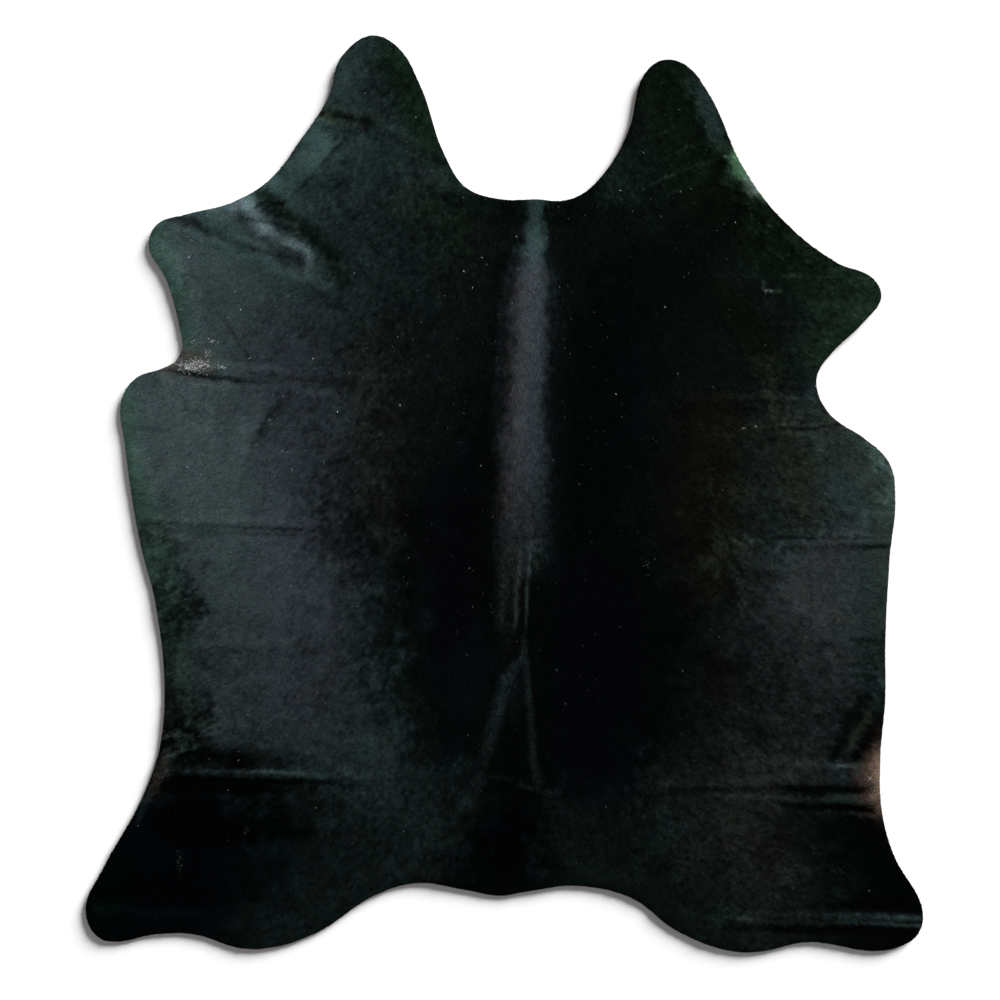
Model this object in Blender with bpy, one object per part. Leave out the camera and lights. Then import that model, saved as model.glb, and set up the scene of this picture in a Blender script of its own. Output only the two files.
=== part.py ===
"""A cowhide lying flat on the floor with its short black coat up.

Metres, +Z up. The neck points along +Y, the legs are spread to both sides, and the
origin is on the floor under the middle of the hide. The hide is one piece with a plain
cut edge: nothing is sewn to it and nothing backs it.
"""

from collections import namedtuple

import bmesh
import bpy
from mathutils import Vector
from mathutils.geometry import delaunay_2d_cdt, interpolate_bezier, intersect_point_line

MM = 0.001

# The sheet
THICKNESS = 3.0 * MM        # tanned skin with its short coat lying flat on it
COAT_COLOUR = (0.012, 0.015, 0.015, 1.0)
COAT_ROUGHNESS = 0.5

# The mesh that carries the shape
EDGE_STEP = 25.0 * MM       # between points along the cut edge
CREASE_STEP = 40.0 * MM     # between points along a crease
CURL_STEP = 45.0 * MM       # between points under a lifted edge
FLAT_STEP = 80.0 * MM       # between points where the hide lies flat
CREASE_ROWS = (0.0, -0.5, 0.5, -1.0, 1.0)    # across a crease, in half widths
HANDLE_SHARE = 0.36         # handle length of the outline's curve, in chords

# The cut edge, clockwise from the tip of the left neck flap, seen from above.
# Columns: x and y of each knot in millimetres.
OUTLINE = {
    "left neck flap": ((-320, 1101), (-258, 1074), (-203, 982), (-145, 817)),
    "neck": ((-94, 737), (-12, 709), (84, 708), (128, 704), (180, 718), (245, 780)),
    "right neck flap": ((297, 876), (333, 1006), (374, 1041), (428, 1034)),
    "right shoulder": ((492, 958), (570, 789), (663, 663), (799, 555)),
    "right foreleg": ((884, 518), (904, 472), (862, 412), (779, 330), (750, 282)),
    "right armpit": ((761, 220), (798, 176), (859, 137)),
    "right flank": ((925, 72), (938, -14), (925, -150), (914, -375), (914, -490), (902, -640)),
    "right hind leg": ((906, -762), (935, -868), (1004, -1003), (993, -1056), (961, -1082)),
    "right rump": ((898, -1098), (725, -1077), (612, -1100), (545, -1099), (409, -1048)),
    "tail": ((303, -971), (168, -942), (55, -955), (-12, -966), (-99, -951), (-209, -935)),
    "left rump": ((-313, -965), (-447, -1052), (-560, -1090), (-637, -1091), (-749, -1058)),
    "left hind leg": ((-850, -1060), (-920, -1075), (-972, -1068), (-1007, -1004), (-962, -893)),
    "left flank": ((-879, -745), (-832, -620), (-818, -486), (-839, -267), (-877, -115)),
    "left belly": ((-913, 118), (-921, 224), (-889, 277), (-821, 303), (-790, 320)),
    "left foreleg": ((-775, 350), (-781, 395), (-812, 511), (-856, 602), (-830, 652)),
    "left shoulder": ((-777, 669), (-655, 701), (-569, 752), (-484, 861), (-425, 952), (-393, 1049)),
}

# Where the hide was folded to store it, it now stands off the floor in a soft ridge.
# Millimetres: the rise at the first and at the last point of the route, half the
# ridge's width, and the route of its top.
Crease = namedtuple("Crease", "first_rise last_rise half_width route")
CREASES = {
    "left neck": Crease(6, 2, 24, ((-490, 908), (-415, 895), (-340, 880))),
    "left neck, along": Crease(3, 3, 22, ((-390, 855), (-530, 710))),
    "left foreleg, inner": Crease(9, 3, 32, ((-665, 750), (-580, 630), (-465, 570), (-400, 465))),
    "left foreleg, outer": Crease(6, 3, 26, ((-830, 655), (-650, 600), (-520, 575))),
    "left shoulder": Crease(9, 3, 26, ((-840, 312), (-670, 295), (-475, 285), (-350, 275))),
    "left belly": Crease(6, 2, 26, ((-910, -70), (-660, -75), (-465, -85))),
    "left belly, low": Crease(4, 2, 30, ((-850, -375), (-470, -375))),
    "left flank": Crease(8, 3, 30, ((-870, -660), (-525, -670), (-295, -690))),
    "left hind leg": Crease(7, 3, 34, ((-1030, -992), (-700, -980))),
    "right foreleg": Crease(5, 2, 30, ((800, 222), (420, 215))),
    "right armpit": Crease(5, 2, 18, ((860, 176), (760, 160), (675, 160))),
    "right belly": Crease(8, 3, 28, ((960, -116), (710, -110), (495, -105))),
    "right flank": Crease(7, 3, 28, ((940, -726), (835, -740), (680, -700), (325, -710))),
    "right hind leg": Crease(8, 3, 30, ((1030, -1020), (780, -1025), (550, -1030))),
}

# Where the edge curls up a little. Millimetres: the rise at the centre, how far it
# reaches, and the centre, which is at or just past the edge.
Curl = namedtuple("Curl", "rise reach centre")
CURLS = {
    "left neck flap": Curl(7, 150, (-330, 1130)),
    "right neck flap": Curl(6, 140, (410, 1070)),
    "left foreleg": Curl(9, 160, (-890, 655)),
    "right foreleg": Curl(8, 150, (930, 485)),
    "left belly": Curl(6, 170, (-960, 170)),
    "right flank": Curl(6, 160, (960, -620)),
    "left hind leg": Curl(9, 170, (-1030, -1070)),
    "right hind leg": Curl(8, 170, (1030, -1070)),
    "left rump": Curl(6, 150, (-600, -1130)),
    "right rump": Curl(6, 150, (590, -1135)),
}


def clear_scene():
    """Remove every object the file starts with."""
    for scene_object in list(bpy.data.objects):
        bpy.data.objects.remove(scene_object, do_unlink=True)


def on_floor(pair):
    """The place in metres of a pair of millimetres."""
    return Vector((pair[0] * MM, pair[1] * MM))


def heading(before, knot, after):
    """The direction of a smooth curve at a knot, halfway between its two chords."""
    return ((knot - before).normalized() + (after - knot).normalized()).normalized()


def smooth_outline():
    """Points along the smooth closed curve through the outline's knots."""
    knots = [on_floor(pair) for stretch in OUTLINE.values() for pair in stretch]
    points = []
    for index, start in enumerate(knots):
        before = knots[index - 1]
        end = knots[(index + 1) % len(knots)]
        after = knots[(index + 2) % len(knots)]
        chord = (end - start).length
        leave = start + heading(before, start, end) * chord * HANDLE_SHARE
        arrive = end - heading(start, end, after) * chord * HANDLE_SHARE
        pieces = max(1, round(chord / EDGE_STEP))
        points += interpolate_bezier(start, leave, arrive, end, pieces + 1)[:-1]
    return [point.to_2d() for point in points]


def bump(share):
    """A soft hump: 1 at share 0, falling to 0 at share 1 with no kink at either."""
    return (1.0 - share * share) ** 2 if share < 1.0 else 0.0


def crease_rise(place, crease):
    """How far a crease lifts the hide at a place."""
    route = [on_floor(pair) for pair in crease.route]
    whole = sum((end - start).length for start, end in zip(route, route[1:]))
    walked = 0.0
    nearest = crease.half_width * MM
    rise = 0.0
    for start, end in zip(route, route[1:]):
        length = (end - start).length
        foot, along = intersect_point_line(place, start, end)
        along = min(max(along, 0.0), 1.0)
        distance = (place - start.lerp(end, along)).length
        if distance < nearest:
            nearest = distance
            share = (walked + along * length) / whole
            top = crease.first_rise + (crease.last_rise - crease.first_rise) * share
            rise = top * MM * bump(distance / (crease.half_width * MM))
        walked += length
    return rise


def hide_rise(place):
    """How far the hide's underside stands off the floor at a place."""
    creases = sum(crease_rise(place, crease) for crease in CREASES.values())
    curls = sum(
        curl.rise * MM * bump((place - on_floor(curl.centre)).length / (curl.reach * MM))
        for curl in CURLS.values()
    )
    return creases + curls


def crease_places(crease):
    """Places for the mesh's points in rows along a crease."""
    route = [on_floor(pair) for pair in crease.route]
    places = []
    for start, end in zip(route, route[1:]):
        along = (end - start).normalized()
        across = Vector((-along.y, along.x)) * crease.half_width * MM
        pieces = max(1, round((end - start).length / CREASE_STEP))
        for row in CREASE_ROWS:
            for piece in range(pieces + 1):
                places.append(start.lerp(end, piece / pieces) + across * row)
    return places


def grid_places(low, high, step):
    """Places in staggered rows over the rectangle between two corners."""
    places = []
    row_gap = step * 0.866
    for row in range(int((high.y - low.y) / row_gap) + 1):
        shift = step * 0.5 * (row % 2)
        for column in range(int((high.x - low.x) / step) + 1):
            places.append(Vector((low.x + column * step + shift, low.y + row * row_gap)))
    return places


def curl_places(curl):
    """Places under a lifted part of the edge."""
    reach = Vector((curl.reach, curl.reach)) * MM
    centre = on_floor(curl.centre)
    places = grid_places(centre - reach, centre + reach, CURL_STEP)
    return [place for place in places if (place - centre).length < reach.x]


def inside(place, outline):
    """Whether a place is inside the outline, by the crossings to its left."""
    crossings = 0
    for start, end in zip(outline, outline[1:] + outline[:1]):
        if (start.y > place.y) != (end.y > place.y):
            x = start.x + (place.y - start.y) / (end.y - start.y) * (end.x - start.x)
            crossings += x < place.x
    return crossings % 2 == 1


def add_places(places, more, gap, outline):
    """Add the places that are inside the outline and clear of all those before."""
    for place in more:
        if all((place - other).length_squared > gap * gap for other in places):
            if inside(place, outline):
                places.append(place)


def mesh_places(outline):
    """The outline's points first, then those of the creases, the curls and the flat."""
    places = list(outline)
    for crease in CREASES.values():
        add_places(places, crease_places(crease), 0.3 * EDGE_STEP, outline)
    for curl in CURLS.values():
        add_places(places, curl_places(curl), 0.6 * CURL_STEP, outline)
    low = Vector((min(point.x for point in outline), min(point.y for point in outline)))
    high = Vector((max(point.x for point in outline), max(point.y for point in outline)))
    add_places(places, grid_places(low, high, FLAT_STEP), 0.55 * FLAT_STEP, outline)
    return places


def coat_material():
    """The short, slightly glossy black coat."""
    material = bpy.data.materials.new("black_coat")
    material.use_nodes = True
    surface = material.node_tree.nodes["Principled BSDF"]
    surface.inputs["Base Color"].default_value = COAT_COLOUR
    surface.inputs["Roughness"].default_value = COAT_ROUGHNESS
    surface.inputs["Metallic"].default_value = 0.0
    return material


def centre_on_origin(outline):
    """Move the outline so that the middle of its box is at the origin."""
    middle_x = (min(point.x for point in outline) + max(point.x for point in outline)) / 2
    middle_y = (min(point.y for point in outline) + max(point.y for point in outline)) / 2
    return [point - Vector((middle_x, middle_y)) for point in outline]


def build_hide():
    """The hide: its underside, lifted at the creases and curls, and its coat above."""
    outline = centre_on_origin(smooth_outline())
    places = mesh_places(outline)
    rim = list(range(len(outline)))
    flat, edges, triangles, *origins = delaunay_2d_cdt(places, [], [rim], 1, 1e-6)

    sheet = bmesh.new()
    corners = [sheet.verts.new((place.x, place.y, hide_rise(place))) for place in flat]
    for triangle in triangles:
        sheet.faces.new([corners[index] for index in triangle])
    top = bmesh.ops.extrude_face_region(sheet, geom=sheet.faces[:], use_keep_orig=True)
    lifted = [part for part in top["geom"] if isinstance(part, bmesh.types.BMVert)]
    bmesh.ops.translate(sheet, verts=lifted, vec=(0.0, 0.0, THICKNESS))
    bmesh.ops.recalc_face_normals(sheet, faces=sheet.faces[:])

    mesh = bpy.data.meshes.new("hide")
    sheet.to_mesh(mesh)
    sheet.free()
    mesh.materials.append(coat_material())
    mesh.shade_smooth()
    mesh.set_sharp_from_angle(angle=0.7)
    hide = bpy.data.objects.new("hide", mesh)
    bpy.context.scene.collection.objects.link(hide)
    return hide


def main():
    clear_scene()
    build_hide()


if __name__ == "__main__":
    main()
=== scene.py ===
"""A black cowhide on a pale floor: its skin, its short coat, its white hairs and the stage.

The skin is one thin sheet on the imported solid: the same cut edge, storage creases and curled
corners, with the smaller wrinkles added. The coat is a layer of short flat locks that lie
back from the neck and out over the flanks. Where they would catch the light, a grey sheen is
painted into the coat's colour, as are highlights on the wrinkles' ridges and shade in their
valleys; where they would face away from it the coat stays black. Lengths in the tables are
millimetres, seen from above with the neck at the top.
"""

import functools
from collections import namedtuple

import bmesh
import bpy
import numpy as np
from bpy.props import FloatProperty, FloatVectorProperty, IntProperty, PointerProperty
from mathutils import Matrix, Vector
from mathutils.geometry import delaunay_2d_cdt


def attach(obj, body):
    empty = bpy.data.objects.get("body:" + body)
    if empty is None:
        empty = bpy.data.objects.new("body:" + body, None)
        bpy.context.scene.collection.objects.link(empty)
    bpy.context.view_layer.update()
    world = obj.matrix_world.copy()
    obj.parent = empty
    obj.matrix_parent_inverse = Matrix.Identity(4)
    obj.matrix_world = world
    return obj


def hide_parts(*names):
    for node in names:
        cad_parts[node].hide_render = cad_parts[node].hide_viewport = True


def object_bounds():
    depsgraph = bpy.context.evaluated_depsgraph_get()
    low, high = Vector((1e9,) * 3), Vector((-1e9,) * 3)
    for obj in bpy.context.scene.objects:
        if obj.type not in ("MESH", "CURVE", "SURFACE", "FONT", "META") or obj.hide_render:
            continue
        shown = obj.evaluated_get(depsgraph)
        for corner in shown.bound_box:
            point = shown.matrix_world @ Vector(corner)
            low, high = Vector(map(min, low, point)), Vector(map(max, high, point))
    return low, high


bl_info = {
    "name": "Black cowhide",
    "version": (1, 0, 0),
    "blender": (4, 5, 0),
    "location": "3D View > Sidebar > Cowhide",
    "description": "Builds a cowhide with a short black coat around its packed solid",
    "category": "Object",
}

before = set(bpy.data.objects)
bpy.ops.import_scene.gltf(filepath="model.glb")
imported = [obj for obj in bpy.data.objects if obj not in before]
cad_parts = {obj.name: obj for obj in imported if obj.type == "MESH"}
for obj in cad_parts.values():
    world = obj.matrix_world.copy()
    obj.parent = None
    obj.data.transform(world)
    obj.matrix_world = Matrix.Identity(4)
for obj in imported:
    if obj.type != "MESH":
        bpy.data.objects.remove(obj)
CAD_LOW, CAD_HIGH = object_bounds()

MM = 0.001
NODE = "hide"
BODY = "root"
BAKE_MAP = "OFBake"

# The even grid that carries the relief and the sheen
GRID_STEP = 2.5 * MM
GRID_MARGIN = 30.0 * MM
GRID_X = np.arange(CAD_LOW.x - GRID_MARGIN, CAD_HIGH.x + GRID_MARGIN, GRID_STEP)
GRID_Y = np.arange(CAD_LOW.y - GRID_MARGIN, CAD_HIGH.y + GRID_MARGIN, GRID_STEP)
GRID_SHAPE = (len(GRID_Y), len(GRID_X))
FAR_FROM_EDGE = 90.0 * MM   # the distance to the cut edge isn't worked out past this

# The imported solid's rim, found by how far its faces look up or down
FACES_DOWN, UPRIGHT = -0.5, 0.3
SAME_PLACE = 0.01 * MM      # corners of its mesh that are this near are one

# The skin's mesh
ROW_GAP = 0.866             # between rows of staggered points, for each step along a row
FINE_MARGIN = 8             # how far past a wrinkle the mesh is fine, in millimetres
FINE_SHARE = 0.35           # the mesh is fine where a hump round a wrinkle is over this
EDGE_GAP = 0.8              # how far the points keep from the edge, for each step
DEEPEST_WRINKLE = 0.6       # in parts of the skin's thickness
ROUNDED_EDGE = 0.35         # how far the upper edge is lowered, in the same parts
SHARP_EDGE = 1.0            # the angle from which edges are sharp, in radians
EDGE_ON_MAP = 3.0 * MM      # the width that the cut edge has on the map

# The coat's colour
BAND_FLATNESS = 1.6         # how flat the tops of the narrow bands are
COMBED = 30.0 * MM          # the length of fine strands, which move the edges of strokes
SHEEN_STRANDS, BAND_STRANDS = 7, 2              # how far they move them, in millimetres
WRINKLE_MOVES = 0.3         # how much wrinkles move, for each part of a band's move
MOTTLE_COMES, MOTTLE_GOES = (5, 16), (56, 32)   # the tones over which mottling comes and goes
MOTTLE_LEFT = 0.15          # the share of the mottling that stays where the coat is pale
DARKEST = 0.35              # the least tone, for each part of the base tone

# The least and the most of what varies from lock to lock and from white hair to white hair
LOCK_LENGTHS, LOCK_WIDTHS, SHADES = (0.75, 1.25), (0.7, 1.3), (0.4, 1.8)
PATCH_LENGTHS, PATCH_TONES, WHITE_LENGTHS = (0.6, 1.2), (0.2, 1.0), (0.6, 1.3)
LOCK_LIFTS, WHITE_LIFTS = (-0.15, 0.35), (0.5, 1.0)   # millimetres over the skin
JITTER = (-0.45, 0.45)      # how far roots are off their rows, for each gap between them
PATCH_SPREAD = 0.6          # how far a patch's hairs scatter, for each part of its reach
WHITE_TURN = 0.5            # how far single white hairs turn from the nap, in radians
WHITE_TONE_POWER = -0.4     # so that few single white hairs are bright
WHITEST = 200.0             # the brightest single white hair's tone
ROOT_DEPTH, WHITE_DEPTH = 2.0 * MM, 1.5 * MM          # how far in from the cut edge they grow
SHORTEST = 0.15             # the part of its length that a lock keeps at the edge, at least
TIP, TIP_RISE = 0.9, 0.7    # where a lock's tip begins, and how far it is raised
LAST_NUMBER = 900           # each lock has a number up to this, which sets its strands apart

LAMP_FAR = 4.0              # where the lamp stands; it shines the same from anywhere
SENSOR_WIDTH = 36.0         # the camera's, in millimetres

# Each side's first and last column on the map that textures are baked to, and the map's rows
MAP_ABOVE, MAP_UNDER, MAP_LOCKS = (0.01, 0.66), (0.99, 0.69), (0.01, 0.99)
MAP_LOW, MAP_HEIGHT = 0.01, 0.98

# Smooth random layers: the size of the humps, the strength, and the seed. Sizes are
# millimetres, and so are the strengths of the layers that move places.
Layer = namedtuple("Layer", "size strength seed")
LAYERS = {
    "rim": (Layer(170, 0.08, 11),),
    "skin": (Layer(14, 0.12, 13), Layer(60, 0.25, 14)),
    "cut edge": (Layer(6, 0.35, 41),),
    "nap": (Layer(45, 0.10, 21), Layer(12, 0.10, 22)),
    "hairs": (Layer(5, 1.0, 36),),
    "wide places": (Layer(110, 20, 31), Layer(40, 14, 32), Layer(14, 12, 33), Layer(7, 9, 30)),
    "narrow places": (Layer(40, 3, 34), Layer(12, 2, 35)),
    "tone": (Layer(4, 0.03, 37), Layer(18, 0.025, 38)),
    "mottle": (Layer(9, 3.0, 44), Layer(20, 1.4, 45), Layer(50, 0.5, 46)),
    "red": (Layer(20, 0.05, 42),),
    "blue": (Layer(20, 0.05, 43),),
}
SECOND_WAY = 500            # added to a layer's seed for the steps in y
COAT_SEEDS = 60             # the first coat piece's seed, which the other pieces' follow
ROOTS_SEED, WHITE_SEED = 51, 71

# Where the hide was folded to store it, it now stands off the floor in a soft ridge: the
# rise at the first and at the last point of the route, half the ridge's width, and the
# route of its top.
Crease = namedtuple("Crease", "first_rise last_rise half_width route")
CREASES = {
    "left neck": Crease(6, 2, 24, ((-490, 908), (-415, 895), (-340, 880))),
    "left neck, along": Crease(3, 3, 22, ((-390, 855), (-530, 710))),
    "left foreleg, inner": Crease(9, 3, 32, ((-665, 750), (-580, 630), (-465, 570), (-400, 465))),
    "left foreleg, outer": Crease(6, 3, 26, ((-830, 655), (-650, 600), (-520, 575))),
    "left shoulder": Crease(9, 3, 26, ((-840, 312), (-670, 295), (-475, 285), (-350, 275))),
    "left belly": Crease(6, 2, 26, ((-910, -70), (-660, -75), (-465, -85))),
    "left belly, low": Crease(4, 2, 30, ((-850, -375), (-470, -375))),
    "left flank": Crease(8, 3, 30, ((-870, -660), (-525, -670), (-295, -690))),
    "left hind leg": Crease(7, 3, 34, ((-1030, -992), (-700, -980))),
    "right foreleg": Crease(5, 2, 30, ((800, 222), (420, 215))),
    "right armpit": Crease(5, 2, 18, ((860, 176), (760, 160), (675, 160))),
    "right belly": Crease(8, 3, 28, ((960, -116), (710, -110), (495, -105))),
    "right flank": Crease(7, 3, 28, ((940, -726), (835, -740), (680, -700), (325, -710))),
    "right hind leg": Crease(8, 3, 30, ((1030, -1020), (780, -1025), (550, -1030))),
}

# The tables of strokes list stations: x, y, half width, and the height at the stroke's line.
# A stroke with one station is round. Where the edge curls up a little, the heights are
# millimetres and the centre is at or just past the edge.
CURLS = {
    "left neck flap": ((-330, 1130, 150, 7),),
    "right neck flap": ((410, 1070, 140, 6),),
    "left foreleg": ((-890, 655, 160, 9),),
    "right foreleg": ((930, 485, 150, 8),),
    "left belly": ((-960, 170, 170, 6),),
    "right flank": ((960, -620, 160, 6),),
    "left hind leg": ((-1030, -1070, 170, 9),),
    "right hind leg": ((1030, -1070, 170, 8),),
    "left rump": ((-600, -1130, 150, 6),),
    "right rump": ((590, -1135, 150, 6),),
}

# The painted sheen, as soft overlapping strokes: the grey of hair that would catch the light,
# painted into the coat's colour. Their heights are how much lighter the coat is, in steps of 255
# of a screen, and strokes with negative heights paint it darker.
SHEEN = {
    "left flank": (
        (-780, 645, 480, 40), (-755, 395, 580, 44), (-855, 180, 660, 57), (-745, 10, 580, 55),
        (-635, -125, 445, 51), (-575, -255, 410, 47), (-585, -400, 410, 38), (-515, -530, 395, 33),
        (-385, -630, 265, 28), (-270, -735, 205, 18), (-240, -855, 215, 11), (-395, -965, 240, 10),
        (-515, -1050, 195, 9),
    ),
    "left foreleg": ((-815, 610, 170, 18), (-635, 600, 170, 10), (-670, 395, 145, 6)),
    "left neck": (
        (-370, 1055, 195, 20), (-420, 910, 205, 20), (-490, 830, 170, 22), (-610, 695, 170, 14),
    ),
    "left neck, dark side": ((-303, 1000, 45, -8), (-285, 930, 50, -5), (-235, 925, 55, -2)),
    "left rim": (
        (-900, 150, 50, -5), (-882, 60, 60, -6), (-848, -30, 66, -12), (-828, -110, 64, -14),
        (-812, -190, 75, -17), (-780, -290, 70, -26), (-766, -330, 56, -15),
    ),
    "left rim, low": ((-784, -510, 50, -14), (-776, -590, 52, -18), (-765, -620, 40, -10)),
    "left flank, inner notch": (
        (-400, 110, 50, -7), (-390, 40, 55, -8), (-415, -75, 60, -12), (-360, -140, 50, -6),
    ),
    "left shoulder, low": ((-470, 222, 60, 9), (-350, 226, 75, 13)),
    "left armpit": ((-785, 346, 45, 6),),
    "left belly, high": ((-745, 172, 70, 8),),
    "left flank, pale spots": ((-756, -430, 45, 8), (-804, -385, 45, 7)),
    "left shoulder, under the valley": (
        (-820, 272, 50, 10), (-740, 264, 50, 13), (-640, 262, 45, 5), (-540, 272, 45, 6),
    ),
    "left flank, low": ((-708, -490, 55, 9), (-704, -545, 66, 15), (-690, -600, 40, 5)),
    "left back, by the ridge": ((-400, -676, 60, -6), (-420, -770, 60, -6)),
    "left back, edge": ((-468, -75, 45, -11), (-420, -195, 50, -5)),
    "left foreleg, low": ((-800, 525, 70, 8), (-720, 520, 70, 6)),
    "left back, low": ((-355, -385, 80, 9), (-350, -440, 70, 11), (-330, -500, 80, 6)),
    "left flank, dark spot": ((-611, -195, 70, -8),),
    "left hind leg, darkest": ((-960, -1010, 160, -1.5), (-780, -920, 160, -1.5)),
    "neck, left": (
        (-325, 1045, 265, 10), (-265, 830, 315, 22), (-250, 610, 410, 14), (-275, 370, 360, 9),
        (-275, 155, 290, 6),
    ),
    "neck, right": ((400, 970, 260, 8), (370, 800, 240, 7), (262, 770, 100, 17)),
    "right neck, rim": (
        (545, 775, 52, 18), (590, 706, 46, 12), (640, 655, 50, 9), (710, 590, 62, 15), (765, 560, 60, 10),
    ),
    "left neck, middle": ((-430, 862, 55, 5), (-425, 800, 60, 8), (-330, 780, 60, 3), (-265, 768, 80, 9)),
    "left neck, tip": ((-340, 1085, 70, 8), (-290, 1078, 60, 8)),
    "left neck, right edge": ((-180, 888, 60, 6),),
    "left neck, shaded": ((-350, 890, 50, -8), (-323, 845, 50, -8)),
    "right shoulder": ((690, 570, 210, 6), (840, 490, 190, 16), (870, 460, 100, 8)),
    "right shoulder, low": ((700, 430, 120, 4), (735, 345, 70, 7)),
    "spine, right of the top": (
        (115, 705, 60, 5), (120, 650, 80, 3), (130, 520, 90, 2), (130, 400, 80, 3), (210, 640, 110, 4),
    ),
    "upper back, right": ((470, 585, 250, 1), (545, 180, 300, 7), (470, -65, 240, 5)),
    "right flank": (
        (965, 130, 455, 40), (965, -15, 555, 44), (830, -160, 360, 38), (785, -265, 315, 38),
        (830, -400, 265, 24), (830, -545, 240, 14),
    ),
    "right belly": ((565, -160, 195, 10), (555, -305, 145, 6), (565, -495, 215, 6), (640, -640, 240, 12)),
    "right belly, over the crease": (
        (450, -70, 50, -6), (543, -82, 42, -11), (640, -62, 58, -10), (830, -60, 55, -10),
    ),
    "right belly, under the crease": ((560, -140, 45, 3), (680, -142, 50, 12), (740, -160, 50, 6)),
    "right belly, inner": ((470, -150, 70, -5), (540, -200, 60, -5)),
    "right belly, pale spot": ((700, -250, 58, 12),),
    "right flank, pale middle": ((695, -440, 70, 5), (785, -496, 66, 6)),
    "right flank, dim low": ((688, -556, 60, -4),),
    "right belly, dim low": ((495, -612, 70, -6), (590, -612, 62, -9)),
    "right armpit, upper": (
        (690, 200, 66, 12), (720, 178, 66, 16), (770, 175, 60, 13), (830, 160, 58, 10),
    ),
    "right armpit, rim": ((890, 110, 55, 15), (930, 46, 50, 27), (905, -20, 50, 8)),
    "right armpit, shade": ((710, 46, 60, -7), (736, 106, 50, -6)),
    "right flank, low rim": ((905, -260, 60, 6), (905, -360, 70, 7), (880, -430, 60, 6)),
    "right flank, rim": ((930, 120, 70, 10), (935, 20, 70, 12), (930, -30, 60, 6)),
    "right rump": (
        (565, -665, 240, 14), (545, -810, 265, 15), (605, -955, 265, 15), (640, -1060, 195, 8),
    ),
    "rump, right": ((175, -855, 165, 8), (325, -850, 215, 6), (350, -955, 195, 4), (362, -672, 85, 11)),
    "tail, beside": ((-60, -430, 150, 3), (-90, -600, 120, 1)),
    "tail, below": (
        (20, -770, 60, -5), (62, -840, 70, -5), (62, -870, 60, -4), (-130, -917, 90, -4),
        (-230, -917, 80, -5),
    ),
    "tail, low sides": ((112, -745, 60, 7), (112, -760, 50, 5)),
    "rump, left": ((-130, -700, 120, 5), (-150, -800, 120, 6)),
}
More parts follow.
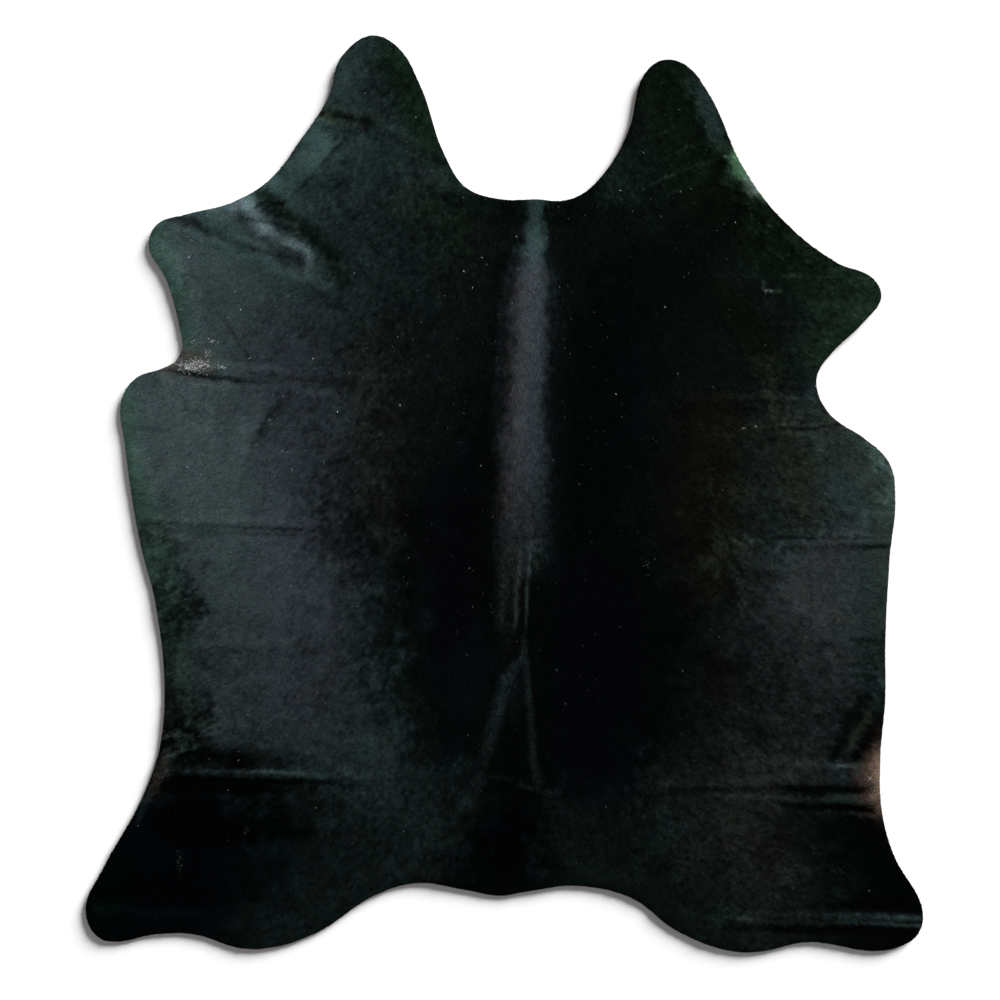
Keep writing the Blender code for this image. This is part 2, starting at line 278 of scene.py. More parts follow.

# Narrow bands with clearer edges, with the sheen's heights: pale bands of painted sheen and
# highlights, dark hollows and valleys of painted shade, and the brown hair on the flanks.
BANDS = {
    # The spine's pale band is painted sheen where the coat parts.
    "spine": (
        (73, 735, 27, 30), (75, 672, 29, 38), (73, 587, 36, 52), (66, 520, 46, 49), (64, 490, 54, 47),
        (59, 370, 57, 46), (53, 226, 59, 41), (50, 106, 76, 39), (43, -14, 84, 29), (43, -110, 84, 21),
        (26, -165, 62, 18), (14, -207, 46, 16), (8, -300, 40, 9), (4, -350, 30, 4),
    ),
    "spine, soft right edge": (
        (90, 636, 16, 8), (104, 560, 22, 4), (112, 515, 26, 9), (106, 440, 28, 7), (96, 350, 30, 7),
        (94, 200, 24, 5),
    ),
    "spine, soft left edge": (
        (34, 592, 16, 9), (14, 520, 22, 9), (8, 445, 26, 9), (-2, 350, 22, 5), (-10, 250, 24, 8),
        (-8, 166, 30, 13), (-4, 90, 24, 4),
    ),
    "spine, bright spot": ((36, 190, 20, 6), (34, 160, 22, 10)),
    "spine, beside": ((75, 680, 70, 4), (75, 480, 100, 5), (75, 100, 100, 5), (70, -150, 90, 5)),
    "left neck, pale patch": (
        (-476, 868, 40, 14), (-442, 842, 48, 24), (-470, 800, 48, 20), (-540, 770, 36, 4),
    ),
    "left edge of the neck": ((-405, 1010, 55, 12), (-470, 905, 45, 14)),
    "left edge of the neck, low": ((-575, 750, 50, 18), (-640, 715, 50, 20), (-730, 670, 50, 8)),
    "left neck, by the notch": ((-185, 780, 30, 12), (-150, 758, 38, 20), (-110, 738, 30, 12)),
    "left foreleg, bright patch": ((-648, 702, 28, 24), (-624, 692, 36, 40), (-606, 674, 24, 24)),
    "left foreleg, second bright patch": ((-606, 644, 20, 20), (-588, 640, 23, 32), (-564, 628, 18, 14)),
    # Painted shade in the left foreleg's valley.
    "left foreleg, dark valley": (
        (-600, 742, 18, -14), (-580, 714, 28, -32), (-556, 690, 33, -34), (-528, 656, 36, -33),
        (-492, 642, 32, -23), (-468, 632, 28, -18), (-448, 608, 26, -14), (-424, 580, 28, -12),
        (-402, 540, 32, -12), (-388, 505, 30, -8), (-378, 470, 26, -3),
    ),
    "left foreleg, over the valley": ((-560, 748, 30, 6), (-516, 722, 36, 14), (-480, 700, 26, 3)),
    "left foreleg, pale slope": (
        (-575, 626, 16, 8), (-530, 606, 18, 19), (-495, 592, 18, 19), (-472, 578, 14, 8),
    ),
    # Painted shade and painted light on the two sides of the left belly's fold.
    "left belly, dark side of the fold": (
        (-522, 245, 18, -8), (-545, 205, 20, -13), (-566, 166, 18, -13), (-596, 124, 16, -7),
    ),
    "left belly, pale side of the fold": (
        (-575, 215, 26, 4), (-606, 170, 26, 6), (-636, 118, 30, 6), (-655, 50, 30, 3),
    ),
    "left belly, left bands": ((-905, -20, 14, -5), (-850, -22, 16, -7), (-780, -20, 14, -3)),
    "left belly, left low bands": ((-880, -98, 14, -8), (-830, -100, 14, -8), (-790, -100, 12, -3)),
    # Painted shade in the left hind leg's hollow and beside the left flank's ridge.
    "left hind leg, hollow": (
        (-790, -775, 75, -5), (-700, -775, 86, -9), (-600, -772, 90, -13), (-500, -768, 80, -10),
        (-430, -762, 60, -4),
    ),
    "left flank, hollow over the ridge": (
        (-770, -636, 22, -8), (-700, -636, 34, -14), (-636, -640, 42, -22), (-588, -642, 42, -22),
        (-540, -642, 34, -18), (-480, -648, 28, -9),
    ),
    "left flank, dark under the ridge": (
        (-815, -700, 22, -12), (-690, -702, 28, -14), (-590, -704, 30, -20), (-500, -704, 26, -12),
        (-430, -700, 22, -3),
    ),
    "left flank, pale rim": ((-812, -616, 18, 14), (-816, -645, 18, 18), (-820, -672, 22, 22)),
    "left flank, brown rim": (
        (-838, -690, 18, 20), (-854, -725, 18, 24), (-872, -762, 14, 14), (-890, -790, 10, 5),
    ),
    "right neck flap": (
        (440, 1010, 50, 12), (476, 958, 36, 32), (493, 912, 33, 32), (505, 876, 34, 34),
        (514, 842, 30, 26), (520, 816, 22, 8),
    ),
    # Painted highlight along the right neck's edge.
    "right neck, bright edge": (
        (545, 832, 22, 20), (562, 806, 34, 82), (584, 770, 36, 82), (606, 734, 30, 88),
        (622, 712, 16, 40),
    ),
    "right foreleg, by the rim": ((790, 528, 40, 5), (870, 500, 50, 8), (880, 440, 50, 8)),
    "right flank, pale patch": ((700, -672, 34, 6), (790, -672, 42, 14), (850, -674, 44, 16)),
    "right flank, brown": (
        (925, -585, 34, 22), (930, -622, 60, 38), (926, -660, 92, 51), (925, -695, 92, 50),
        (920, -730, 72, 42), (915, -756, 52, 22), (912, -790, 36, 5),
    ),
    "right flank, bright rim": (
        (908, -610, 20, 20), (906, -660, 30, 42), (906, -720, 30, 40), (906, -755, 20, 16),
    ),
    # Painted shade in the valleys of the curled pocket on the right flank, and painted light on its ridge.
    "right flank, pocket's outer valley": (
        (870, -480, 20, -8), (866, -492, 24, -13), (832, -544, 24, -13), (813, -597, 20, -10),
        (791, -640, 13, -14),
    ),
    "right flank, pocket's ridge": (
        (892, -492, 14, 4), (866, -544, 16, 6), (842, -592, 16, 7), (815, -635, 13, 2),
    ),
    "right flank, pocket's inner valley": (
        (904, -530, 18, -8), (871, -592, 19, -12), (844, -638, 18, -12), (822, -652, 10, -4),
    ),
}

# Wrinkles and fold lines, with the sheen's heights. They shape the skin, and they are also
# painted into the coat's colour: a painted highlight on a ridge and painted shade in a valley.
WRINKLES = {
    "left shoulder, valley": (
        (-829, 298, 6, -14), (-792, 294, 8, -34), (-732, 284, 11, -42), (-696, 279, 10, -36),
        (-660, 275, 9, -30), (-625, 268, 8, -18), (-590, 266, 7, -8),
    ),
    "left shoulder, ridge": (
        (-690, 292, 8, 6), (-660, 288, 9, 12), (-610, 280, 8, 12), (-564, 273, 8, 12), (-468, 264, 7, 9),
        (-420, 258, 7, 3),
    ),
    "left shoulder, upper dip": (
        (-610, 292, 12, -4), (-564, 286, 11, -9), (-510, 280, 9, -7), (-468, 272, 7, -7),
        (-400, 266, 6, -4), (-370, 262, 6, -2),
    ),
    "left shoulder, lower ridge": ((-700, 256, 14, 6), (-538, 257, 14, 8), (-420, 240, 17, 14)),
    "left shoulder, short valley": ((-656, 322, 7, -12), (-564, 320, 7, -8)),
    "left shoulder, slanting line": ((-690, 438, 7, -10), (-650, 378, 7, -16), (-616, 330, 7, -12)),
    "left foreleg, inner ridge": (
        (-520, 600, 18, 10), (-495, 594, 20, 24), (-474, 584, 20, 36), (-470, 556, 22, 40),
        (-468, 530, 22, 38), (-440, 502, 22, 18), (-420, 488, 18, 8),
    ),
    "left foreleg, ridge in the shade": ((-540, 656, 7, 8), (-516, 650, 8, 16), (-490, 640, 7, 6)),
    "left foreleg, low ridge": (
        (-600, 560, 24, 6), (-560, 545, 24, 12), (-516, 527, 26, 18), (-480, 515, 24, 12),
    ),
    "left foreleg, notch": (
        (-640, 664, 8, -16), (-600, 656, 8, -14), (-564, 650, 7, -30), (-545, 646, 6, -8),
    ),
    "left foreleg, outer valley": (
        (-806, 664, 14, -26), (-780, 660, 18, -34), (-748, 650, 22, -34), (-720, 634, 18, -38),
        (-684, 622, 16, -24), (-640, 604, 14, -22), (-600, 588, 11, -18), (-564, 578, 9, -14),
        (-492, 562, 8, -8),
    ),
    "left foreleg, outer ridge": (
        (-792, 634, 14, 14), (-756, 620, 14, 14), (-720, 604, 14, 14), (-684, 600, 12, 12),
        (-640, 574, 14, 14), (-564, 566, 14, 16),
    ),
    "left foreleg, small pale patch": ((-728, 678, 16, 14), (-700, 682, 18, 12)),
    "left neck, pit at the edge": ((-449, 912, 12, -34), (-436, 914, 12, -34)),
    "left neck, pit": ((-404, 907, 17, -26), (-371, 905, 17, -34)),
    "left neck, second pit": ((-348, 900, 19, -20), (-318, 894, 17, -16)),
    "left neck, wrinkle": (
        (-458, 900, 7, 14), (-434, 898, 7, 18), (-410, 886, 10, 16), (-396, 868, 7, 10),
    ),
    "left neck, long valley": (
        (-372, 866, 6, -14), (-448, 782, 6, -20), (-492, 734, 6, -14), (-533, 697, 6, -12),
    ),
    "left neck, pale fold": ((-310, 900, 19, 10), (-260, 880, 22, 14), (-205, 850, 19, 8)),
    "left belly, valley": (
        (-884, -72, 8, -14), (-850, -72, 9, -24), (-800, -73, 8, -18), (-740, -75, 7, -12),
        (-660, -78, 7, -18), (-500, -86, 7, -28), (-470, -88, 6, -12),
    ),
    "left belly, second valley": ((-660, -95, 5, -6), (-560, -98, 5, -12), (-470, -100, 5, -14)),
    "left belly, slanting valley": (
        (-520, 245, 9, -5), (-545, 215, 10, -9), (-576, 173, 10, -11), (-604, 126, 12, -7),
        (-622, 50, 14, -6), (-648, -10, 12, -3),
    ),
    "left belly, upper line": ((-820, 168, 5, -8), (-700, 166, 5, -6), (-580, 168, 5, -6)),
    "left belly, middle line": ((-615, 78, 5, -5), (-560, 80, 5, -7), (-495, 76, 5, -4)),
    "left belly, dark green band": ((-905, 158, 9, -10), (-877, 158, 10, -18), (-800, 150, 10, -5)),
    "left belly, low green band": ((-905, 0, 14, -16), (-877, -2, 15, -18), (-826, -4, 14, -6)),
    "left belly, rim line": ((-884, -60, 6, -10), (-850, -60, 6, -8)),
    "left belly, third green band": ((-880, -112, 14, -10), (-840, -112, 14, -10), (-800, -110, 14, -3)),
    "left belly, curved line": (
        (-800, 188, 5, -4), (-770, 204, 5, -8), (-735, 196, 5, -8), (-722, 172, 5, -4),
    ),
    "left belly, small curl": ((-790, -55, 5, -8), (-770, -50, 5, -12), (-748, -60, 5, -8)),
    "left belly, ridge": ((-540, -66, 10, 4), (-478, -64, 10, 6)),
    "left belly, low valley": ((-804, -378, 14, -4), (-636, -376, 17, -7), (-468, -380, 14, -4)),
    "left flank, ridge": (
        (-818, -663, 7, 10), (-757, -666, 7, 18), (-660, -667, 7, 24), (-588, -669, 8, 29),
        (-540, -670, 8, 33), (-500, -672, 8, 25), (-470, -675, 8, 10), (-400, -678, 8, 5),
        (-350, -680, 8, 3),
    ),
    "left flank, valley": ((-660, -652, 9, -2), (-560, -652, 9, -3)),
    "left flank, valley below": (
        (-820, -686, 8, -12), (-700, -686, 8, -14), (-588, -690, 9, -16), (-500, -692, 9, -20),
        (-440, -694, 9, -12), (-372, -700, 9, -8),
    ),
    "left flank, wrinkle": (
        (-826, -634, 6, 14), (-790, -624, 5, 26), (-756, -615, 4, 36), (-738, -610, 5, 20),
    ),
    "left flank, wrinkle's valley": ((-810, -620, 8, -4), (-770, -606, 9, -8), (-745, -600, 8, -4)),
    "left hind leg, ridge": ((-978, -996, 17, 5), (-876, -1004, 19, 6), (-694, -1006, 17, 3)),
    "left hind leg, valley": ((-974, -958, 14, -3), (-828, -960, 17, -3), (-694, -962, 14, -2)),
    "right foreleg, ridge": ((428, 236, 14, 3), (616, 234, 12, 4), (700, 232, 12, 3)),
    "right foreleg, valley": ((540, 221, 10, -3), (616, 220, 8, -6), (665, 218, 8, -4)),
    "right armpit, valley": (
        (664, 160, 5, -8), (690, 157, 5, -20), (712, 156, 6, -30), (740, 157, 6, -32), (768, 160, 6, -32),
        (808, 169, 5, -24), (835, 177, 5, -10),
    ),
    "right armpit, ridge": ((660, 149, 9, 8), (712, 145, 9, 14), (748, 146, 9, 8)),
    "right armpit, upper ridge": (
        (616, 162, 8, 8), (670, 166, 6, 8), (712, 165, 5, 10), (750, 168, 5, 6),
    ),
    "right armpit, pale smear": ((668, 232, 9, 8), (712, 233, 9, 14), (745, 230, 9, 10)),
    "right armpit, wisps": ((690, 206, 6, 8), (712, 200, 6, 8)),
    "right belly, ridge": (
        (495, -118, 12, 10), (560, -119, 15, 14), (620, -119, 14, 14), (688, -121, 16, 20),
        (760, -120, 11, 13), (830, -116, 8, 9), (915, -114, 6, 5),
    ),
    "right belly, valley": (
        (590, -106, 6, -6), (680, -106, 6, -16), (760, -106, 6, -20), (860, -106, 6, -18),
        (915, -107, 6, -8),
    ),
    "right belly, edge valley": ((836, -128, 7, -14), (882, -126, 9, -38), (918, -126, 8, -34)),
    "right flank, first short valley": ((838, -350, 8, -8), (880, -354, 10, -16), (915, -357, 8, -10)),
    "right flank, edge shine": ((888, -428, 12, 14), (905, -448, 13, 34), (908, -468, 10, 12)),
    "right flank, short shine": ((780, -423, 8, 5), (830, -425, 8, 10), (880, -427, 8, 6)),
    "right flank, short valley": ((828, -434, 7, -10), (870, -438, 10, -16), (914, -440, 7, -12)),
    "right flank, ridge": (
        (472, -722, 7, 8), (567, -727, 10, 14), (664, -730, 11, 16), (760, -737, 11, 22),
        (808, -733, 16, 28), (856, -735, 19, 30), (892, -735, 14, 12),
    ),
    "right flank, valley": (
        (399, -712, 7, -5), (471, -710, 8, -10), (567, -708, 10, -12), (664, -706, 12, -16),
        (760, -709, 14, -26), (808, -708, 14, -28), (856, -712, 13, -30), (892, -713, 10, -30),
    ),
    "right flank, upper valley": ((567, -640, 7, -3), (700, -612, 7, -8), (800, -610, 7, -8)),
    "right flank, curl": (
        (786, -658, 5, 16), (800, -654, 5, 48), (814, -654, 5, 50), (832, -657, 5, 28), (850, -662, 5, 8),
    ),
    "right flank, lower valley": (
        (640, -744, 8, -5), (712, -750, 10, -10), (760, -756, 10, -14), (808, -752, 10, -22),
        (856, -757, 11, -30), (890, -760, 9, -34),
    ),
    "right flank, lower ridge": (
        (760, -772, 8, 3), (808, -766, 8, 9), (856, -770, 9, 22), (888, -771, 8, 20),
    ),
    "right flank, long ridge": ((472, -650, 12, 3), (688, -646, 14, 6), (852, -652, 14, 10)),
    "right hind leg, ridge": (
        (530, -1018, 8, 5), (567, -1021, 8, 14), (664, -1028, 8, 8), (760, -1030, 8, 10),
        (832, -1031, 10, 24), (868, -1032, 9, 34), (905, -1033, 9, 46), (952, -1035, 8, 56),
        (1000, -1038, 7, 50),
    ),
    "right hind leg, upper ridge": (
        (560, -1006, 12, 5), (664, -1010, 12, 8), (760, -1013, 13, 12), (832, -1017, 14, 28),
        (905, -1017, 12, 38), (952, -1018, 12, 46), (1000, -1020, 12, 42),
    ),
    "right hind leg, valley": (
        (530, -1044, 14, -8), (664, -1046, 13, -14), (760, -1048, 13, -16), (960, -1056, 13, -18),
    ),
    "right hind leg, upper valley": ((780, -988, 12, -6), (964, -990, 17, -6)),
    "spine, right ridge": (
        (64, -111, 8, 10), (60, -160, 6, 22), (56, -207, 7, 36), (54, -260, 6, 46), (52, -303, 6, 32),
        (49, -336, 6, 10),
    ),
    "spine, middle ridge": (
        (38, -140, 9, 8), (33, -207, 9, 16), (29, -260, 9, 28), (27, -303, 7, 30), (23, -332, 6, 10),
    ),
    "spine, left groove": ((16, -180, 9, -3), (15, -207, 9, -5), (12, -303, 9, -8)),
    "spine, left ridge": ((-4, -207, 17, 4), (-8, -290, 15, 7), (-10, -330, 12, 4)),
    "spine, right groove": ((50, -84, 7, -6), (47, -111, 7, -10), (46, -160, 6, -5)),
    "spine, cross groove": ((-10, -104, 6, -4), (50, -107, 6, -7), (94, -107, 6, -4)),
    "spine, fold over the tail": ((-34, -682, 6, 10), (20, -686, 6, 9)),
    "spine, knot": ((44, -345, 9, 10), (48, -368, 14, 22), (44, -395, 12, 18)),
    "tail, left fold": (
        (40, -402, 15, 18), (4, -446, 26, 22), (-4, -472, 26, 21), (-22, -544, 27, 20),
        (-36, -600, 24, 16), (-48, -640, 22, 13), (-60, -680, 24, 10), (-80, -740, 40, 8),
    ),
    "tail, right fold": (
        (52, -402, 11, 18), (56, -472, 14, 18), (64, -544, 15, 15), (69, -640, 16, 18),
        (82, -692, 20, 12),
    ),
    "tail, between the folds": ((26, -446, 24, 8), (26, -500, 26, 8), (22, -545, 24, 3)),
    "spine, short fold": ((40, -700, 8, 12), (80, -712, 10, 14), (122, -722, 8, 8)),
    "rump, first line": ((340, -700, 8, 4), (380, -698, 8, 9), (420, -700, 8, 4)),
    "rump, second line": ((340, -718, 6, 3), (380, -717, 6, 7), (420, -718, 6, 3)),
    "right neck flap, first scratch": ((344, 740, 6, 10), (447, 787, 6, 14), (514, 804, 6, 12)),
    "right neck flap, second scratch": ((327, 727, 6, 10), (375, 756, 6, 14), (416, 773, 6, 10)),
    "right neck flap, third scratch": ((399, 811, 6, 8), (440, 832, 6, 12), (480, 842, 6, 10)),
    "right neck flap, fourth scratch": ((334, 852, 6, 8), (380, 870, 6, 10), (416, 884, 6, 8)),
    "right neck flap, fifth scratch": ((356, 700, 6, 6), (410, 726, 6, 10), (470, 744, 6, 7)),
    "right neck flap, fold": ((450, 864, 6, -8), (505, 862, 7, -12), (540, 858, 6, -8)),
    "right shoulder, smear": ((664, 520, 9, 10), (706, 526, 9, 12), (740, 524, 8, 8)),
    "right shoulder, line": ((500, 524, 6, 4), (640, 522, 6, 6), (860, 520, 6, 8)),
    "right shoulder, hook": ((621, 512, 6, 22), (624, 492, 7, 40), (646, 484, 6, 30), (668, 490, 6, 24)),
}

# The tint of the grey: red and blue for each part of green, and strokes whose heights are
# the share of the tint.
Tint = namedtuple("Tint", "red blue stations")
BASE_TINT = (0.58, 1.0, 0.98)
TINTS = {
    "left flank": Tint(0.69, 1.04, ((-760, 480, 300, 1.2), (-740, 0, 330, 1.2), (-680, -480, 300, 1.2))),
    "left flank, violet": Tint(0.76, 1.19, (
        (-500, 330, 200, 1.0), (-450, 0, 230, 1.3), (-480, -480, 220, 1.1),
    )),
    "left back, brown": Tint(0.8, 0.9, ((-290, 320, 150, 1.0), (-270, -40, 150, 1.2))),
    "left back, blue": Tint(0.7, 1.55, ((-130, -20, 120, 1.1), (-110, -420, 110, 1.2))),
    "right back, green": Tint(0.44, 0.7, (
        (-60, 740, 120, 1.1), (240, 740, 200, 1.3), (340, 540, 220, 1.3), (240, 330, 130, 0.9),
    )),
    "left neck, lower right": Tint(0.55, 0.68, (
        (-210, 700, 100, 0.9), (-100, 640, 110, 1.1), (-95, 500, 100, 0.7),
    )),
    "right back, upper": Tint(0.46, 0.98, (
        (170, 570, 90, 0.7), (165, 330, 90, 1.0), (160, -150, 90, 1.1),
    )),
    "right back, upper blue": Tint(0.36, 1.14, ((290, 430, 120, 1.0), (280, 150, 130, 1.1))),
    "right back, upper green": Tint(0.44, 0.74, ((530, 420, 110, 0.9), (520, 280, 100, 0.8))),
    "right back, blue": Tint(0.62, 1.8, (
        (200, -200, 120, 0.9), (230, -300, 180, 1.3), (220, -600, 180, 1.3),
    )),
    "rump, blue": Tint(0.42, 1.2, ((280, -585, 70, 0.9),)),
    "left back, teal": Tint(0.52, 0.96, ((-205, 80, 70, 0.9),)),
    "left back, upper blue": Tint(0.5, 1.34, ((-85, 110, 50, 0.8), (-85, 20, 50, 0.8))),
    "left back, middle": Tint(0.8, 1.24, ((-205, -150, 60, 0.8),)),
    "right belly, olive": Tint(0.84, 0.72, (
        (500, 160, 190, 1.2), (480, -80, 190, 1.2), (500, -200, 160, 1.1),
    )),
    "right side, olive": Tint(0.6, 0.62, (
        (520, 480, 100, 1.0), (600, 400, 120, 1.1), (640, 290, 90, 1.0),
    )),
    "right side, brown": Tint(0.76, 0.78, (
        (640, 200, 100, 1.1), (700, 60, 110, 1.2), (720, -40, 90, 0.9),
    )),
    "right armpit": Tint(0.74, 0.84, ((780, 180, 80, 1.1), (820, 100, 70, 0.9))),
    "right flank": Tint(0.82, 1.04, (
        (800, -120, 120, 0.8), (710, -260, 210, 1.2), (720, -560, 210, 1.2),
    )),
    "right belly, teal": Tint(0.46, 0.84, ((395, -365, 70, 0.9),)),
    "right belly, low": Tint(0.94, 0.94, ((520, -470, 90, 1.0), (520, -370, 60, 0.7))),
    "right rump": Tint(0.84, 0.92, (
        (420, -660, 150, 0.8), (580, -690, 220, 1.1), (600, -860, 240, 1.2), (600, -1000, 200, 0.7),
    )),
    "right rump, low": Tint(0.56, 0.82, ((520, -1010, 120, 1.0), (400, -1000, 90, 1.0))),
    "rump, green": Tint(0.5, 0.7, ((160, -905, 90, 0.9), (290, -910, 90, 0.9))),
    "right hind leg, rim": Tint(0.3, 0.74, ((880, -905, 80, 0.9), (980, -960, 60, 0.8))),
    "right neck": Tint(0.46, 0.56, ((420, 960, 200, 1.4), (520, 740, 210, 1.4), (720, 560, 180, 1.2))),
    "right neck, pale": Tint(0.74, 0.92, ((600, 740, 44, 1.0),)),
    "right neck flap": Tint(0.5, 0.92, ((470, 990, 50, 0.9), (490, 940, 48, 1.0), (508, 868, 44, 1.0))),
    "right foreleg": Tint(0.46, 0.6, ((850, 480, 140, 1.3), (760, 340, 110, 1.0))),
    "left neck": Tint(0.54, 0.97, ((-340, 1060, 220, 1.2), (-380, 840, 230, 1.2), (-620, 660, 170, 1.0))),
    "left neck, dark side": Tint(0.42, 0.6, (
        (-250, 1050, 90, 1.2), (-180, 880, 80, 1.2), (-110, 790, 60, 1.0), (130, 770, 60, 1.0),
    )),
    "left neck, pits": Tint(0.6, 0.7, ((-450, 912, 30, 0.9), (-320, 898, 30, 0.9))),
    "spine": Tint(0.84, 1.16, ((58, 520, 90, 1.2), (50, 300, 110, 1.3), (40, -60, 110, 1.3))),
    "spine, left": Tint(0.95, 1.08, ((26, 480, 36, 0.7), (14, 200, 40, 0.8), (0, -60, 40, 0.8))),
    "spine, right": Tint(0.72, 1.2, ((88, 500, 30, 0.8), (82, 200, 32, 0.8), (84, -110, 36, 1.0))),
    "spine, top": Tint(0.55, 1.03, ((76, 730, 40, 1.2), (76, 640, 46, 1.0), (74, 570, 50, 0.6))),
    "spine, low": Tint(0.82, 0.98, ((10, -160, 80, 1.1), (10, -360, 60, 0.9))),
    "tail": Tint(0.64, 1.06, ((30, -420, 50, 1.0), (-50, -680, 70, 1.0))),
    "tail, beside": Tint(0.44, 1.12, ((-90, -440, 70, 1.0), (-130, -620, 70, 1.0))),
    "tail, below": Tint(0.42, 2.0, ((30, -790, 70, 1.1), (-60, -840, 50, 0.4))),
    "tail, lowest": Tint(0.34, 1.12, ((-90, -910, 80, 1.0), (40, -910, 80, 1.0))),
    "tail, right": Tint(0.68, 0.98, ((66, -520, 26, 0.8), (70, -620, 30, 0.9), (90, -690, 50, 1.0))),
    "left hind leg": Tint(0.34, 1.85, (
        (-950, -990, 230, 1.2), (-740, -830, 170, 1.2), (-760, -960, 160, 1.0),
    )),
    "left hind leg, blue": Tint(0.6, 2.2, ((-690, -780, 80, 0.4), (-660, -820, 70, 0.4))),
    "left hind leg, inner": Tint(0.34, 1.14, ((-575, -800, 110, 1.0), (-560, -960, 110, 0.3))),
    "left hind leg, rim": Tint(0.16, 0.9, ((-950, -900, 90, 1.1), (-960, -1010, 120, 1.1))),
    "left foreleg, rim": Tint(0.52, 0.86, (
        (-860, 640, 70, 1.2), (-800, 500, 60, 1.3), (-780, 350, 70, 1.2),
    )),
    "left foreleg, patches": Tint(0.72, 1.1, (
        (-640, 690, 60, 0.9), (-560, 620, 60, 0.9), (-470, 560, 50, 0.9),
    )),
    "left foreleg, shade": Tint(0.52, 0.72, (
        (-590, 725, 30, 0.9), (-540, 680, 30, 1.0), (-450, 606, 30, 1.0), (-400, 540, 34, 0.9),
    )),
    "left belly, rim": Tint(0.54, 0.84, (
        (-920, 260, 50, 1.3), (-895, 60, 50, 1.2), (-850, -100, 70, 1.2),
    )),
    "left flank, rim": Tint(0.5, 0.82, (
        (-830, -160, 70, 1.1), (-800, -300, 70, 1.1), (-790, -450, 60, 1.0), (-765, -600, 70, 1.1),
    )),
    "left flank, low rim": Tint(0.62, 0.84, (
        (-810, -430, 60, 0.8), (-800, -560, 70, 1.0), (-810, -680, 50, 1.0),
    )),
    "right flank, rim": Tint(0.64, 0.88, (
        (850, 130, 90, 1.0), (930, -40, 80, 1.2), (920, -380, 70, 1.0),
    )),
    "right flank, brown": Tint(1.46, 0.77, (
        (905, -590, 60, 1.0), (890, -690, 75, 1.4), (895, -765, 60, 1.0),
    )),
    "right flank, pocket": Tint(0.66, 0.64, ((880, -510, 34, 0.8), (840, -596, 34, 0.8))),
    "left armpit, brown": Tint(1.0, 0.92, ((-800, 322, 60, 1.2), (-730, 312, 50, 1.0))),
    "left flank, brown": Tint(1.15, 0.86, ((-830, -640, 36, 0.9), (-840, -700, 50, 0.9))),
}

# Small places where the painted sheen and shade of the coat are a little paler or darker than
# round them, by part of the hide. Each is one round stroke with the sheen's heights.
DABS = {
    "left neck": (
        (-323, 885, 42, -7), (-215, 915, 42, 6), (-467, 828, 30, -6), (-467, 772, 38, -7),
        (-419, 770, 34, 8), (-227, 647, 42, -6),
    ),
    "left foreleg": ((-564, 587, 38, 8), (-490, 535, 60, 6), (-420, 640, 40, 6), (-690, 467, 45, -6)),
    "left shoulder": (
        (-690, 347, 38, 6), (-804, 290, 34, 9), (-515, 286, 32, 7), (-560, 226, 32, 6),
        (-275, 385, 110, -5),
    ),
    "left belly": (
        (-890, 166, 24, -6), (-890, 106, 26, 6), (-735, 166, 38, 6), (-630, 166, 40, 6),
        (-850, 40, 30, -6), (-800, -50, 45, -6), (-852, -135, 28, 6), (-710, -88, 60, -7),
    ),
    "left back": (
        (-455, 35, 48, -7), (-440, -70, 40, -7), (-350, -75, 55, -7), (-312, -135, 38, -11),
        (-450, -165, 44, 8),
    ),
    "left flank": (
        (-756, -255, 30, 10), (-756, -315, 32, -12), (-590, -315, 48, -7), (-804, -475, 42, -14),
        (-490, -436, 45, -7), (-445, -496, 42, -6), (-708, -565, 28, 6), (-820, -735, 36, 6),
    ),
    "beside the tail": (
        (-323, -496, 34, -7), (-275, -496, 32, 6), (-227, -616, 34, 8), (-280, -737, 45, 8),
        (-100, -737, 42, 11),
    ),
    "right neck": ((495, 888, 32, 7), (542, 768, 34, 17), (470, 768, 36, 7), (585, 712, 34, 6)),
    "right shoulder": ((560, 540, 100, 5), (545, 140, 60, 5)),
    "right armpit": (
        (680, 168, 36, 9), (736, 106, 36, -8), (842, 90, 42, 9), (882, 46, 34, 16), (928, -14, 26, -6),
    ),
    "right belly": (
        (570, -75, 48, -7), (688, -140, 32, 6), (648, -190, 40, -8), (640, -255, 32, 17),
        (700, -320, 50, -6), (543, -370, 50, 7), (912, -195, 34, 6), (925, -285, 30, 6),
    ),
    "right flank": (
        (615, -580, 42, -8), (736, -616, 36, 7), (860, -616, 42, -6), (882, -680, 26, 7),
        (688, -905, 50, 8),
    ),
}

